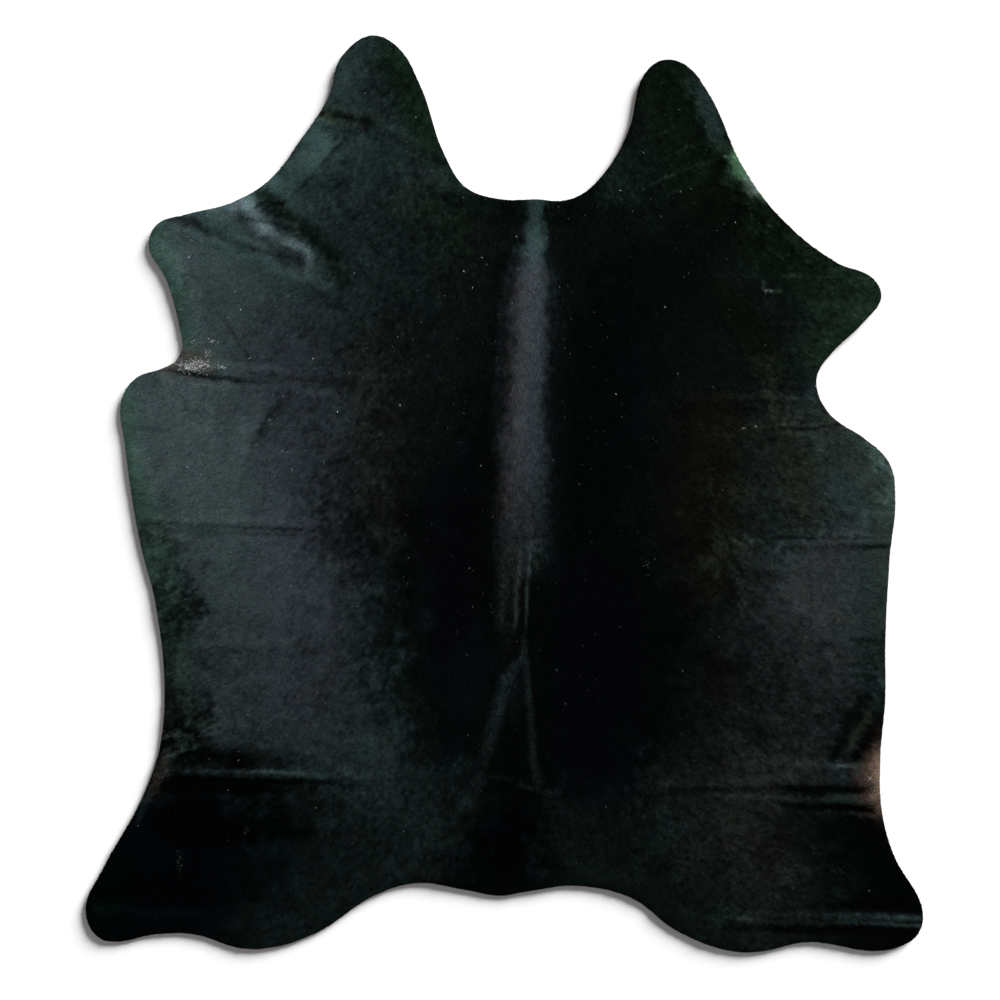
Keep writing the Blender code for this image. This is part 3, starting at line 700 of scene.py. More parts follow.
# Where white hairs grow close together: how many, how light the lightest are, their length,
# how far they turn from the nap in degrees, the reach of the patch in x and y, and its centre.
Patch = namedtuple("Patch", "hairs tone length turn reach centre")
PATCHES = {
    "left armpit, edge": Patch(46, 150, 5, 40, (9, 16), (-712, 336)),
    "left armpit": Patch(300, 165, 6, 45, (42, 15), (-744, 308)),
    "left armpit, bright": Patch(60, 210, 6, 30, (26, 9), (-756, 304)),
    "left armpit, streak": Patch(14, 190, 7, 12, (14, 2), (-676, 305)),
    "left armpit, smudge": Patch(30, 60, 7, 40, (16, 10), (-660, 332)),
    "left armpit, left tuft": Patch(16, 110, 6, 30, (9, 9), (-742, 366)),
    "left armpit, right tuft": Patch(14, 170, 5, 30, (7, 5), (-700, 368)),
    "left armpit, below": Patch(30, 100, 4, 50, (60, 10), (-706, 268)),
    "left shoulder, dot": Patch(4, 200, 5, 30, (2, 2), (-612, 328)),
    "left shoulder, far dot": Patch(6, 150, 5, 20, (4, 2), (-664, 424)),
    "right flank, flecks": Patch(60, 120, 3, 60, (18, 40), (880, -706)),
    "right flank, bright tuft": Patch(5, 240, 4, 30, (4, 4), (878, -681)),
    "right flank, edge tuft": Patch(5, 240, 4, 30, (4, 4), (900, -730)),
    "left flank": Patch(24, 70, 5, 50, (24, 30), (-842, -676)),
    "left hind leg, streak": Patch(60, 46, 4, 20, (7, 26), (-779, -884)),
    "left hind leg, dot": Patch(16, 55, 3, 30, (5, 8), (-621, -809)),
    "right hind leg, dots": Patch(44, 36, 3, 60, (18, 14), (800, -905)),
    "right hind leg, low dot": Patch(3, 110, 4, 30, (2, 2), (877, -953)),
    "right neck, bright dot": Patch(3, 200, 4, 30, (2, 2), (333, 823)),
    "right shoulder, bright dot": Patch(3, 200, 4, 30, (2, 2), (554, 655)),
    "right shoulder, low dot": Patch(3, 190, 4, 30, (2, 2), (386, 449)),
    "right shoulder, hook": Patch(22, 110, 5, 12, (14, 3), (636, 489)),
    "left belly, dots": Patch(30, 80, 4, 40, (18, 20), (-886, 250)),
    "left belly, first flecks": Patch(14, 90, 4, 40, (16, 10), (-456, 238)),
    "left belly, second flecks": Patch(10, 120, 4, 40, (10, 8), (-557, 178)),
    "left belly, third flecks": Patch(16, 110, 4, 30, (22, 5), (-532, 101)),
    "left belly, fourth flecks": Patch(12, 110, 4, 30, (14, 5), (-508, 57)),
    "left foreleg, flecks": Patch(30, 60, 4, 60, (40, 16), (-780, 560)),
    "right armpit, specks": Patch(5, 190, 4, 30, (4, 2), (574, 158)),
    "right armpit, third speck": Patch(3, 190, 4, 30, (3, 2), (604, 163)),
    "back, small flecks": Patch(10, 90, 4, 40, (12, 10), (340, -165)),
}


# ---- Numbers on the grid ----

class Field:
    """Values on the even grid over the hide, read anywhere between its points."""

    def __init__(self, values):
        self.values = values

    def at(self, places):
        """The values at places, an array of x and y."""
        column = (places[..., 0] - GRID_X[0]) / GRID_STEP
        row = (places[..., 1] - GRID_Y[0]) / GRID_STEP
        left = np.clip(column.astype(int), 0, len(GRID_X) - 2)
        low = np.clip(row.astype(int), 0, len(GRID_Y) - 2)
        across, up = np.clip(column - left, 0.0, 1.0), np.clip(row - low, 0.0, 1.0)
        if self.values.ndim == 3:
            across, up = across[..., None], up[..., None]
        below = self.values[low, left] * (1 - across) + self.values[low, left + 1] * across
        above = self.values[low + 1, left] * (1 - across) + self.values[low + 1, left + 1] * across
        return below * (1 - up) + above * up


def bump(share):
    """A soft hump: 1 at share 0, falling to 0 at share 1 with no kink at either."""
    return np.where(share < 1.0, (1.0 - share * share) ** 2, 0.0)


def ramp(values, none, full, least=0.0):
    """How far values are on the way from none to full, from a least share up to 1."""
    return np.clip((values - none) / (full - none), least, 1.0)


def beside_run(start, end, reach):
    """The grid round a straight run, and there the share along it and the distance to it."""
    low, high = np.minimum(start, end) - reach, np.maximum(start, end) + reach
    rows = slice(*np.searchsorted(GRID_Y, (low[1], high[1])))
    columns = slice(*np.searchsorted(GRID_X, (low[0], high[0])))
    off_x, off_y = GRID_X[None, columns] - start[0], GRID_Y[rows, None] - start[1]
    run = end - start
    along = np.clip((off_x * run[0] + off_y * run[1]) / (run @ run or 1.0), 0.0, 1.0)
    return (rows, columns), along, np.hypot(off_x - along * run[0], off_y - along * run[1])


def strokes(table, flatness=1.0):
    """The sum of a table's strokes on the grid; above 1, flatness gives them flatter tops."""
    values = np.zeros(GRID_SHAPE)
    for stations in table.values():
        stroke = np.zeros(GRID_SHAPE)
        for start, end in zip(stations, stations[1:] or stations):
            (*place, half, height), (*place_end, half_end, height_end) = start, end
            reach = max(half, half_end) * MM
            spot, along, distance = beside_run(np.array(place) * MM, np.array(place_end) * MM, reach)
            share = distance / ((half + (half_end - half) * along) * MM)
            hump = (height + (height_end - height) * along) * bump(share ** flatness)
            np.copyto(stroke[spot], hump, where=np.abs(hump) > np.abs(stroke[spot]))
        values += stroke
    return values


def crease_stations(crease):
    """A crease's route as a stroke's stations, with its rise changing evenly along it."""
    walked = np.cumsum([0.0, *np.linalg.norm(np.diff(crease.route, axis=0), axis=1)])
    rises = crease.first_rise + (crease.last_rise - crease.first_rise) * walked / walked[-1]
    return [(x, y, crease.half_width, rise) for (x, y), rise in zip(crease.route, rises)]


@functools.cache
def soft_noise(size, seed):
    """Smooth random values with humps about a size across, spread evenly around 0."""
    white = np.random.default_rng(seed).standard_normal(GRID_SHAPE)
    rows = np.fft.fftfreq(GRID_SHAPE[0], GRID_STEP)[:, None]
    columns = np.fft.rfftfreq(GRID_SHAPE[1], GRID_STEP)[None, :]
    kept = np.exp(-0.5 * (rows * rows + columns * columns) * size * size)
    values = np.fft.irfft2(np.fft.rfft2(white) * kept, s=GRID_SHAPE)
    return values / values.std()


def layers(name, further=0):
    """The sum of the smooth random layers of a name, with a number added to their seeds."""
    return sum(strength * soft_noise(size * MM, seed + further) for size, strength, seed in LAYERS[name])


def moves(name):
    """The steps in x and y by which the layers of a name move places."""
    return np.stack([layers(name), layers(name, SECOND_WAY)], axis=-1)


# ---- The cut edge ----

def lower_rim(solid):
    """The edges of a merged solid between its upright rim and its underside."""
    rim = []
    for edge in solid.edges:
        slopes = sorted(face.normal.z for face in edge.link_faces)
        if len(slopes) == 2 and slopes[0] < FACES_DOWN and abs(slopes[1]) < UPRIGHT:
            rim.append(edge)
    return rim


def ring_of(edges):
    """The places of a closed loop's points, in order."""
    joined = {}
    for edge in edges:
        for vert in edge.verts:
            joined.setdefault(vert, []).append(edge.other_vert(vert))
    if not joined or any(len(ends) != 2 for ends in joined.values()):
        raise RuntimeError("the packed hide's rim isn't one closed loop")
    first = next(iter(joined))
    ring, last, here = [first], first, joined[first][0]
    while here is not first:
        ring.append(here)
        last, here = here, next(vert for vert in joined[here] if vert is not last)
    return np.array([vert.co.xy for vert in ring])


def ring_area(ring):
    """The area inside a ring, negative where the ring runs clockwise seen from above."""
    x, y = ring.T
    return 0.5 * float(np.sum(x * np.roll(y, -1) - np.roll(x, -1) * y))


def evenly(ring, step):
    """A smooth curve through a ring's points, with points about a step apart."""
    before, after, far = np.roll(ring, 1, 0), np.roll(ring, -1, 0), np.roll(ring, -2, 0)
    points = []
    for back, here, ahead, beyond in zip(before, ring, after, far):
        pieces = max(1, round(float(np.linalg.norm(ahead - here)) / step))
        share = (np.arange(pieces) / pieces)[:, None]
        points.append(0.5 * (
            2 * here + (ahead - back) * share
            + (2 * back - 5 * here + 4 * ahead - beyond) * share ** 2
            + (3 * here - back - 3 * ahead + beyond) * share ** 3
        ))
    return np.concatenate(points)


def outward(ring):
    """The directions straight out of an anticlockwise ring, at its points."""
    along = np.roll(ring, -1, 0) - np.roll(ring, 1, 0)
    out = np.stack([along[:, 1], -along[:, 0]], axis=1)
    return out / np.linalg.norm(out, axis=1, keepdims=True)


@functools.cache
def cut_edge():
    """The hide's cut edge as an anticlockwise ring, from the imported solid's underside."""
    solid = bmesh.new()
    solid.from_mesh(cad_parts[NODE].data)
    bmesh.ops.remove_doubles(solid, verts=solid.verts, dist=SAME_PLACE)
    solid.normal_update()
    ring = ring_of(lower_rim(solid))
    solid.free()
    if ring_area(ring) < 0.0:
        ring = ring[::-1]
    return evenly(ring, bpy.context.scene.hide_skin.edge_step)


@functools.cache
def depth_in():
    """How far each grid point lies inside the cut edge; outside, the values are negative."""
    ring = cut_edge()
    nearest = np.full(GRID_SHAPE, FAR_FROM_EDGE)
    crossings = np.zeros(GRID_SHAPE, int)
    for start, end in zip(ring, np.roll(ring, -1, 0)):
        spot, _, distance = beside_run(start, end, FAR_FROM_EDGE)
        nearest[spot] = np.minimum(nearest[spot], distance)
        for row in range(*np.searchsorted(GRID_Y, sorted((start[1], end[1])))):
            x = start[0] + (GRID_Y[row] - start[1]) / (end[1] - start[1]) * (end[0] - start[0])
            crossings[row, np.searchsorted(GRID_X, x):] += 1
    return Field(np.where(crossings % 2 == 1, nearest, -nearest))


# ---- The hide's relief and the colour of its coat ----

@functools.cache
def underside():
    """How far the underside stands off the floor."""
    skin = bpy.context.scene.hide_skin
    creases = strokes({name: crease_stations(crease) for name, crease in CREASES.items()}) * MM
    curls = strokes(CURLS) * MM
    rim = skin.rim_lift * bump(np.clip(depth_in().values / skin.rim_reach, 0.0, 1.0))
    rim *= 1.0 + layers("rim")
    return Field(np.cbrt(creases ** 3 + curls ** 3 + rim ** 3))


@functools.cache
def coat_side():
    """The height of the skin's upper side, with its wrinkles."""
    skin = bpy.context.scene.hide_skin
    wrinkles = strokes(WRINKLES) * skin.wrinkle_depth + layers("skin") * MM
    deepest = -DEEPEST_WRINKLE * skin.thickness
    return Field(underside().values + skin.thickness + np.maximum(wrinkles, deepest))


@functools.cache
def lean_of_skin():
    """How the upper side's normals lean in x and y for each part upright."""
    rise_y, rise_x = np.gradient(coat_side().values, GRID_STEP)
    return Field(np.stack([-rise_x, -rise_y], axis=-1))


def nap(places):
    """The way the hair lies: back from the neck, out over the flanks and down the legs."""
    coat = bpy.context.scene.hide_coat
    lean = coat.lean * np.tanh((places[..., 0] - coat.parting) / coat.lean_spread)
    lean += Field(layers("nap")).at(places)
    return np.stack([np.sin(lean), -np.cos(lean)], axis=-1)


def turned(way, angles):
    """Directions turned anticlockwise by angles, one for each."""
    (x, y), along, across = way.T, np.cos(angles), np.sin(angles)
    return np.stack([x * along - y * across, x * across + y * along], axis=1)


def to_light(tone):
    """The amount of light that a screen shows for a tone in steps of 255."""
    share = np.clip(tone / 255.0, 0.0, 1.0)
    return np.where(share <= 0.04045, share / 12.92, ((share + 0.055) / 1.055) ** 2.4)


@functools.cache
def coat_colour_and_painted_light():
    """The coat's colour on the grid, as red, green and blue, with painted sheen and painted shade."""
    coat = bpy.context.scene.hide_coat
    places = np.stack(np.meshgrid(GRID_X, GRID_Y), axis=-1)
    # Fine strands along the nap fray the edges of the strokes
    way, hairs = nap(places), Field(layers("hairs"))
    combed = sum(hairs.at(places + way * step) for step in np.linspace(-0.5, 0.5, 9) * COMBED)
    steps = way * (combed / np.abs(combed).std())[..., None]
    wide = (moves("wide places") + SHEEN_STRANDS * steps) * MM
    narrow = (moves("narrow places") + BAND_STRANDS * steps) * MM
    dabs = {dab: (dab,) for part in DABS.values() for dab in part}
    # Painted sheen: the coat is lighter where its hair would catch the light; the bands add painted
    # highlights and painted shade in hollows
    tone = coat.base_tone + Field(strokes(SHEEN)).at(places + wide)
    tone += Field(strokes(BANDS, BAND_FLATNESS) + strokes(dabs)).at(places + narrow)
    tone *= 1.0 + layers("tone")
    # Painted highlight on the wrinkles' ridges and painted shade in their valleys
    tone += Field(strokes(WRINKLES) * coat.wrinkle_tone).at(places + WRINKLE_MOVES * narrow)
    in_grey = ramp(tone, *MOTTLE_COMES) * ramp(tone, *MOTTLE_GOES, MOTTLE_LEFT)
    tone += coat.mottle * layers("mottle") * in_grey
    tint = np.ones(GRID_SHAPE + (3,)) * BASE_TINT
    for name, (red, blue, stations) in TINTS.items():
        share = np.clip(strokes({name: stations}), 0.0, 1.0)[..., None]
        tint += (np.array([red, 1.0, blue]) - tint) * share
    tint[..., 0] *= 1.0 + layers("red")
    tint[..., 2] *= 1.0 + layers("blue")
    light = coat.gain * to_light(np.maximum(tone, DARKEST * coat.base_tone))
    return Field(light[..., None] * tint / tint.mean(axis=-1, keepdims=True))


# ---- Meshes ----

def deselect_everything():
    """Leave edit mode if needed, and select nothing."""
    if bpy.context.object and bpy.context.object.mode != "OBJECT":
        bpy.ops.object.mode_set(mode="OBJECT")
    bpy.ops.object.select_all(action="DESELECT")


def triangle_mesh(name, points, triangles):
    """A mesh of points and triangles given as arrays."""
    mesh = bpy.data.meshes.new(name)
    mesh.vertices.add(len(points))
    mesh.vertices.foreach_set("co", points.astype(np.float32).ravel())
    mesh.loops.add(triangles.size)
    mesh.loops.foreach_set("vertex_index", triangles.astype(np.int32).ravel())
    mesh.polygons.add(len(triangles))
    mesh.polygons.foreach_set("loop_start", np.arange(0, triangles.size, 3, dtype=np.int32))
    mesh.update(calc_edges=True)
    return mesh


def give_colour(mesh, colours):
    """Store the coat's colour, with its painted sheen and shade, for each point of a mesh."""
    attribute = mesh.attributes.new("coat_colour_and_painted_light", "FLOAT_COLOR", "POINT")
    rgba = np.column_stack([colours, np.ones(len(colours))])
    attribute.data.foreach_set("color", rgba.astype(np.float32).ravel())


def give_map(mesh, uv):
    """Store the map that textures are baked to: a place for each corner of each face."""
    mesh.uv_layers.new(name=BAKE_MAP).data.foreach_set("uv", uv.astype(np.float32).ravel())


def seen_from_above(places, low, high, columns):
    """Places on a map: the rectangle from low to high, between two of the map's columns."""
    (left, right), share = columns, (places - low) / (high - low)
    across, up = left + (right - left) * share[:, 0], MAP_LOW + MAP_HEIGHT * share[:, 1]
    return np.stack([across, up], axis=1)


def add_piece(name, mesh, materials):
    """A piece of the hide, on the body that carries it."""
    for material in materials:
        mesh.materials.append(material)
    piece = bpy.data.objects.new(name, mesh)
    bpy.context.scene.collection.objects.link(piece)
    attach(piece, BODY)
    return piece


def staggered(low, high, step):
    """Places in staggered rows over a rectangle, with each one's row and column."""
    rows = np.arange(int((high.y - low.y) / (step * ROW_GAP)) + 1)
    columns = np.arange(int((high.x - low.x) / step) + 1)
    column, row = (cells.ravel() for cells in np.meshgrid(columns, rows))
    x = low.x + (column + 0.5 * (row % 2)) * step
    return np.stack([x, low.y + row * step * ROW_GAP], axis=1), row, column


def filled(ring, inner):
    """Triangles that fill an anticlockwise ring through the inner places, facing up."""
    places = np.concatenate([ring, inner])
    flat, _, faces, origins, *_ = delaunay_2d_cdt(
        [Vector(place) for place in places], [], [list(range(len(ring)))], 1, 1e-7
    )
    if len(flat) != len(places):
        raise RuntimeError("the cut edge crosses itself")
    triangles = np.array([origin[0] for origin in origins])[np.array(faces)]
    a, b, c = (places[triangles[:, corner]] for corner in range(3))
    left_turn = (b - a)[:, 0] * (c - a)[:, 1] - (b - a)[:, 1] * (c - a)[:, 0] > 0
    triangles[~left_turn] = triangles[~left_turn][:, ::-1]
    return places, triangles


@functools.cache
def wrinkled():
    """Where the skin's mesh has to be fine: 1 on the creases and wrinkles."""
    wrinkles = {name: [(x, y, half + FINE_MARGIN, 1.0) for x, y, half, _ in stations]
                for name, stations in WRINKLES.items()}
    creases = {name: [(x, y, crease.half_width, 1.0) for x, y in crease.route]
               for name, crease in CREASES.items()}
    return Field(strokes(wrinkles) + strokes(creases))


def skin_places(step, inset):
    """Places for one side's points: a step apart on wrinkles, twice as far apart elsewhere."""
    places, row, column = staggered(CAD_LOW, CAD_HIGH, step)
    wide = (row % 2 == 0) & ((column + row // 2) % 2 == 0)
    inside = depth_in().at(places) > inset + EDGE_GAP * step
    return places[inside & (wide | (wrinkled().at(places) > FINE_SHARE))]


def build_skin():
    """The skin: one closed sheet, wrinkled above, with a cut edge and a napped underside."""
    settings = bpy.context.scene.hide_skin
    ring = cut_edge()
    out = outward(ring)
    ragged = Field(layers("cut edge")).at(ring) * MM
    inset, under_inset = settings.edge_inset, settings.edge_inset + settings.undercut
    upper_ring = ring - out * (inset + ragged)[:, None]
    lower_ring = upper_ring - out * settings.undercut
    upper, upper_faces = filled(upper_ring, skin_places(settings.fine_step, inset))
    lower, lower_faces = filled(lower_ring, skin_places(settings.under_step, under_inset))

    count, ring_count = len(upper), len(ring)
    here = np.arange(ring_count)
    ahead = (here + 1) % ring_count
    rim_faces = np.concatenate([
        np.stack([here, count + here, count + ahead], axis=1),
        np.stack([here, count + ahead, ahead], axis=1),
    ])
    lower_faces = lower_faces[:, ::-1] + count
    places = np.concatenate([upper, lower])
    heights = np.concatenate([coat_side().at(upper), underside().at(lower)])
    heights[:ring_count] -= ROUNDED_EDGE * settings.thickness
    triangles = np.concatenate([upper_faces, rim_faces, lower_faces])

    mesh = triangle_mesh("hide_skin", np.column_stack([places, heights]), triangles)
    low, high = np.array(CAD_LOW.xy), np.array(CAD_HIGH.xy)
    above = seen_from_above(places, low, high, MAP_ABOVE)
    under = seen_from_above(places, low, high, MAP_UNDER)
    beside = above.copy()
    beside[count:count + ring_count] = seen_from_above(upper_ring + out * EDGE_ON_MAP, low, high, MAP_ABOVE)
    give_map(mesh, np.concatenate([above[upper_faces], beside[rim_faces], under[lower_faces]]))
    give_colour(mesh, coat_colour_and_painted_light().at(places))
    material_index = (np.arange(len(triangles)) >= len(upper_faces)).astype(np.int32)
    mesh.polygons.foreach_set("material_index", material_index)
    mesh.shade_smooth()
    mesh.set_sharp_from_angle(angle=SHARP_EDGE)
    skin = add_piece("hide_skin", mesh, [hair_side_material(), flesh_side_material()])
    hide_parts(NODE)
    return skin


# ---- Locks of hair ----

@functools.cache
def model_lock():
    """The points and faces of a lock of hair: a flat spike along +Y, 1 long, wide and high."""
    deselect_everything()
    bpy.ops.mesh.primitive_cone_add(vertices=3, radius1=1.0, radius2=0.0, depth=1.0, location=(0, 0, 0.5))
    lock = bpy.context.object
    mesh = lock.data
    across, along, _ = lock.dimensions
    bpy.ops.object.mode_set(mode="EDIT")
    bpy.ops.mesh.select_all(action="SELECT")
    bpy.ops.transform.resize(value=(1.0 / across, 1.0 / along, 1.0), center_override=(0, 0, 0))
    bpy.ops.transform.translate(value=(0, 1.0 / 3.0, 0))
    bpy.ops.mesh.select_all(action="DESELECT")
    bpy.ops.object.mode_set(mode="OBJECT")
    for vert in mesh.vertices:
        vert.select = vert.co.y > TIP
    bpy.ops.object.mode_set(mode="EDIT")
    bpy.ops.transform.translate(value=(0, 0, TIP_RISE))
    bpy.ops.object.mode_set(mode="OBJECT")
    bpy.ops.object.transform_apply(location=True, rotation=True, scale=True)
    points = np.array([vert.co for vert in mesh.vertices])
    faces = np.array([face.vertices for face in mesh.polygons])
    bpy.data.objects.remove(lock)
    bpy.data.meshes.remove(mesh)
    return points, faces


def lay_locks(roots, way, lengths, widths, lift):
    """The points of locks that lie on the skin, one lock for each root."""
    coat = bpy.context.scene.hide_coat
    points, _ = model_lock()
    depth, tips = depth_in().at(roots), depth_in().at(roots + way * lengths[:, None])
    past = np.clip(-coat.overhang - tips, 0.0, None)
    lengths = lengths * np.clip(1.0 - past / np.maximum(depth - tips, 1e-6), SHORTEST, 1.0)
    side = np.stack([way[:, 1], -way[:, 0]], axis=1)
    along = points[None, :, 1, None] * (lengths[:, None, None] * way[:, None, :])
    across = points[None, :, 0, None] * (widths[:, None, None] * side[:, None, :])
    places = roots[:, None, :] + along + across
    height = coat_side().at(places)
    crest = points[:, 2].argmax()
    height[:, crest] = np.maximum(height[:, crest], np.delete(height, crest, axis=1).mean(axis=1))
    height += points[None, :, 2] * coat.lock_height + lift[:, None]
    return np.concatenate([places, height[..., None]], axis=-1).reshape(-1, 3)


def of_locks(values):
    """One value for each lock, repeated for each of its points."""
    return np.repeat(values, len(model_lock()[0]), axis=0)


def lock_piece(name, laid, colours, numbers, tilts, material):
    """A piece of laid locks, shaded as one coat: their normals are near the skin's."""
    points, faces = model_lock()
    triangles = faces[None] + (np.arange(len(numbers)) * len(points))[:, None, None]
    mesh = triangle_mesh(name, laid, triangles.reshape(-1, 3))
    give_colour(mesh, colours)
    # Where each point lies across and along its lock, with the lock's number
    strands = np.stack(np.broadcast_arrays(points[:, 0], points[:, 1], numbers[:, None]), axis=-1)
    attribute = mesh.attributes.new("strand", "FLOAT_VECTOR", "POINT")
    attribute.data.foreach_set("vector", strands.astype(np.float32).ravel())
    places = laid[:, :2]
    give_map(mesh, seen_from_above(places, places.min(0), places.max(0), MAP_LOCKS)[triangles.ravel()])
    mesh.shade_smooth()
    lean = bpy.context.scene.hide_coat.relief * lean_of_skin().at(places) + tilts
    normals = np.column_stack([lean, np.ones(len(laid))])
    normals /= np.linalg.norm(normals, axis=1, keepdims=True)
    mesh.normals_split_custom_set_from_vertices(normals.tolist())
    return add_piece(name, mesh, [material])


def lock_roots(settings):
    """The roots of all the locks, in jittered rows inside the cut edge."""
    places, _, _ = staggered(CAD_LOW, CAD_HIGH, settings.lock_gap)
    random = np.random.default_rng(ROOTS_SEED)
    places = places + random.uniform(*JITTER, places.shape) * settings.lock_gap
    return places[depth_in().at(places) > ROOT_DEPTH]


def coat_parts(roots):
    """The roots in four parts of equal number: neck, rump and the two flanks."""
    x, y = roots.T
    neck, rump = np.quantile(y, 0.75), np.quantile(y, 0.25)
    middle = (y <= neck) & (y >= rump)
    parting = np.median(x[middle])
    return {
        "coat_neck": roots[y > neck],
        "coat_left_flank": roots[middle & (x < parting)],
        "coat_right_flank": roots[middle & (x >= parting)],
        "coat_rump": roots[y < rump],
    }


def build_coat():
    """The short black coat, in four pieces of flat locks."""
    settings = bpy.context.scene.hide_coat
    material = hair_shader("black_coat", settings.gloss, 0.62)
    for number, (name, roots) in enumerate(coat_parts(lock_roots(settings)).items()):
        random = np.random.default_rng(COAT_SEEDS + number)
        count = len(roots)
        way = turned(nap(roots), random.normal(0.0, settings.scatter, count))
        lengths = settings.lock_length * random.uniform(*LOCK_LENGTHS, count)
        widths = settings.lock_width * random.uniform(*LOCK_WIDTHS, count)
        lift = random.uniform(*LOCK_LIFTS, count) * MM
        laid = lay_locks(roots, way, lengths, widths, lift)
        shade = np.clip(random.normal(1.0, settings.lock_contrast, count), *SHADES)
        colours = coat_colour_and_painted_light().at(laid[:, :2]) * of_locks(shade)[:, None]
        numbers = random.uniform(0, LAST_NUMBER, count)
        tilts = of_locks(random.normal(0.0, settings.tilt, (count, 2)))
        piece = lock_piece(name, laid, colours, numbers, tilts, material)


def patch_hairs(patch, random):
    """Roots, turns, tones and lengths of the white hairs of one patch."""
    spread = np.array(patch.reach) * MM
    roots = np.array(patch.centre) * MM + random.normal(0.0, PATCH_SPREAD, (patch.hairs, 2)) * spread
    turns = random.normal(0.0, np.radians(patch.turn), patch.hairs)
    tones = patch.tone * random.uniform(*PATCH_TONES, patch.hairs)
    return roots, turns, tones, patch.length * MM * random.uniform(*PATCH_LENGTHS, patch.hairs)


def single_hairs(settings, random):
    """Roots, turns, tones and lengths of the white hairs that grow one by one."""
    count = settings.singles
    roots = random.uniform(CAD_LOW.xy, CAD_HIGH.xy, (count, 2))
    turns = random.normal(0.0, WHITE_TURN, count)
    tones = settings.single_tone * random.uniform(0.0, 1.0, count) ** WHITE_TONE_POWER
    lengths = settings.white_length * random.uniform(*WHITE_LENGTHS, count)
    # They grow closest on the left of the neck, and fewest on the right of the rump
    x, y = roots.T
    share = np.clip(0.42 + 0.35 * y - 0.25 * x, 0.14, 1.0) * ramp(y, -1.0, -0.6, 0.2)
    kept = random.uniform(0.0, 1.0, count) < share
    return tuple(values[kept] for values in (roots, turns, np.minimum(tones, WHITEST), lengths))


def build_white_hairs():
    """The single white hairs and the small white patches."""
    settings = bpy.context.scene.hide_coat
    random = np.random.default_rng(WHITE_SEED)
    found = [patch_hairs(patch, random) for patch in PATCHES.values()]
    found.append(single_hairs(settings, random))
    columns = [np.concatenate(column) for column in zip(*found)]
    inside = depth_in().at(columns[0]) > WHITE_DEPTH
    roots, turns, tones, lengths = (column[inside] for column in columns)
    widths = settings.white_width * random.uniform(*LOCK_WIDTHS, len(roots))
    lift = random.uniform(*WHITE_LIFTS, len(roots)) * MM
    laid = lay_locks(roots, turned(nap(roots), turns), lengths, widths, lift)
    light = settings.gain * of_locks(to_light(tones))[:, None]
    colours = light * np.array(settings.white_colour) + coat_colour_and_painted_light().at(laid[:, :2])
    numbers = random.uniform(0, LAST_NUMBER, len(roots))
    material = hair_shader("white_hair", 0.2, 0.55)
    return lock_piece("white_hairs", laid, colours, numbers, 0.0, material)


# ---- Materials ----

def maths(operation):
    """A socket's two methods for an operation: with the socket first, and with it second."""
    def node(value, first, second):
        return value.shader.node("ShaderNodeMath", {"operation": operation}, {0: first, 1: second})
    return lambda self, other: node(self, self, other), lambda self, other: node(self, other, self)


class Value:
    """An output socket that can be used in sums, so that shader maths reads as maths."""

    def __init__(self, shader, socket):
        self.shader, self.socket = shader, socket

    __add__, __radd__ = maths("ADD")
    __sub__, __rsub__ = maths("SUBTRACT")
    __mul__, __rmul__ = maths("MULTIPLY")


class Shader:
    """A material whose nodes are made by one method."""

    def __init__(self, name):
        self.material = bpy.data.materials.new(name)
        self.material.use_nodes = True
        self.tree = self.material.node_tree
        self.surface = self.tree.nodes["Principled BSDF"]

    def node(self, kind, settings=None, inputs=None, output=0):
        """A node of a type, with its settings made first and then its inputs."""
        node = self.tree.nodes.new(kind)
        for name, value in (settings or {}).items():
            setattr(node, name, value)
        for name, value in (inputs or {}).items():
            self.put(node.inputs[name], value)
        return Value(self, node.outputs[output])

    def put(self, socket, value):
        """Link a value to a socket, or set the socket to it."""
        if isinstance(value, Value):
            self.tree.links.new(value.socket, socket)
        else:
            socket.default_value = value

    def stored(self, name, output=0):
        """What the mesh's points store under a name."""
        return self.node("ShaderNodeAttribute", {"attribute_name": name}, output=output)

    def place(self):
        """The place on the piece."""
        return self.node("ShaderNodeTexCoord", output=3)

    def noise(self, vector, scale, detail=2.0, roughness=0.5):
        """A noise pattern's value at a vector."""
        return self.node("ShaderNodeTexNoise", {"noise_dimensions": "3D"}, {
            "Vector": vector, "Scale": scale, "Detail": detail, "Roughness": roughness,
        })

    def stretched(self, vector, factors):
        """A vector with each part multiplied."""
        return self.node("ShaderNodeVectorMath", {"operation": "MULTIPLY"}, {0: vector, 1: factors})

    def scaled(self, colour, factor):
        """A colour made lighter or darker by a value."""
        return self.node("ShaderNodeVectorMath", {"operation": "SCALE"}, {0: colour, "Scale": factor})

    def raised(self, height, distance, strength):
        """The normal of a surface raised by a height between 0 and 1."""
        inputs = {"Height": height, "Distance": distance, "Strength": strength}
        return self.node("ShaderNodeBump", {}, inputs)

    def finish(self, **inputs):
        """Set the surface's sockets, whose names are given with _ for each space."""
        for name, value in {"Metallic": 0.0, **inputs}.items():
            self.put(self.surface.inputs[name.replace("_", " ")], value)
        return self.material


def hair_shader(name, gloss, rough):
    """The look of hair: strands along each lock over the colour stored on its points."""
    shader = Shader(name)
    fine = shader.noise(shader.stretched(shader.stored("strand", 1), (9.0, 0.8, 1.0)), 1.0, 2.0, 0.6)
    grain = shader.noise(shader.place(), 260.0)
    # The grain shows most where the coat is darkest
    light = shader.stored("coat_colour_and_painted_light", 2)
    contrast = shader.node("ShaderNodeMapRange", {}, {0: light, 1: 0.004, 2: 0.04, 3: 2.6, 4: 1.9})
    return shader.finish(
        Base_Color=shader.scaled(
            shader.stored("coat_colour_and_painted_light"), 0.83 + 0.34 * fine + contrast * (grain - 0.5)
        ),
        Roughness=rough - 0.16 * fine + 0.08 * grain,
        Normal=shader.raised(fine, 0.25 * MM, 0.7),
        Specular_IOR_Level=gloss,
    )


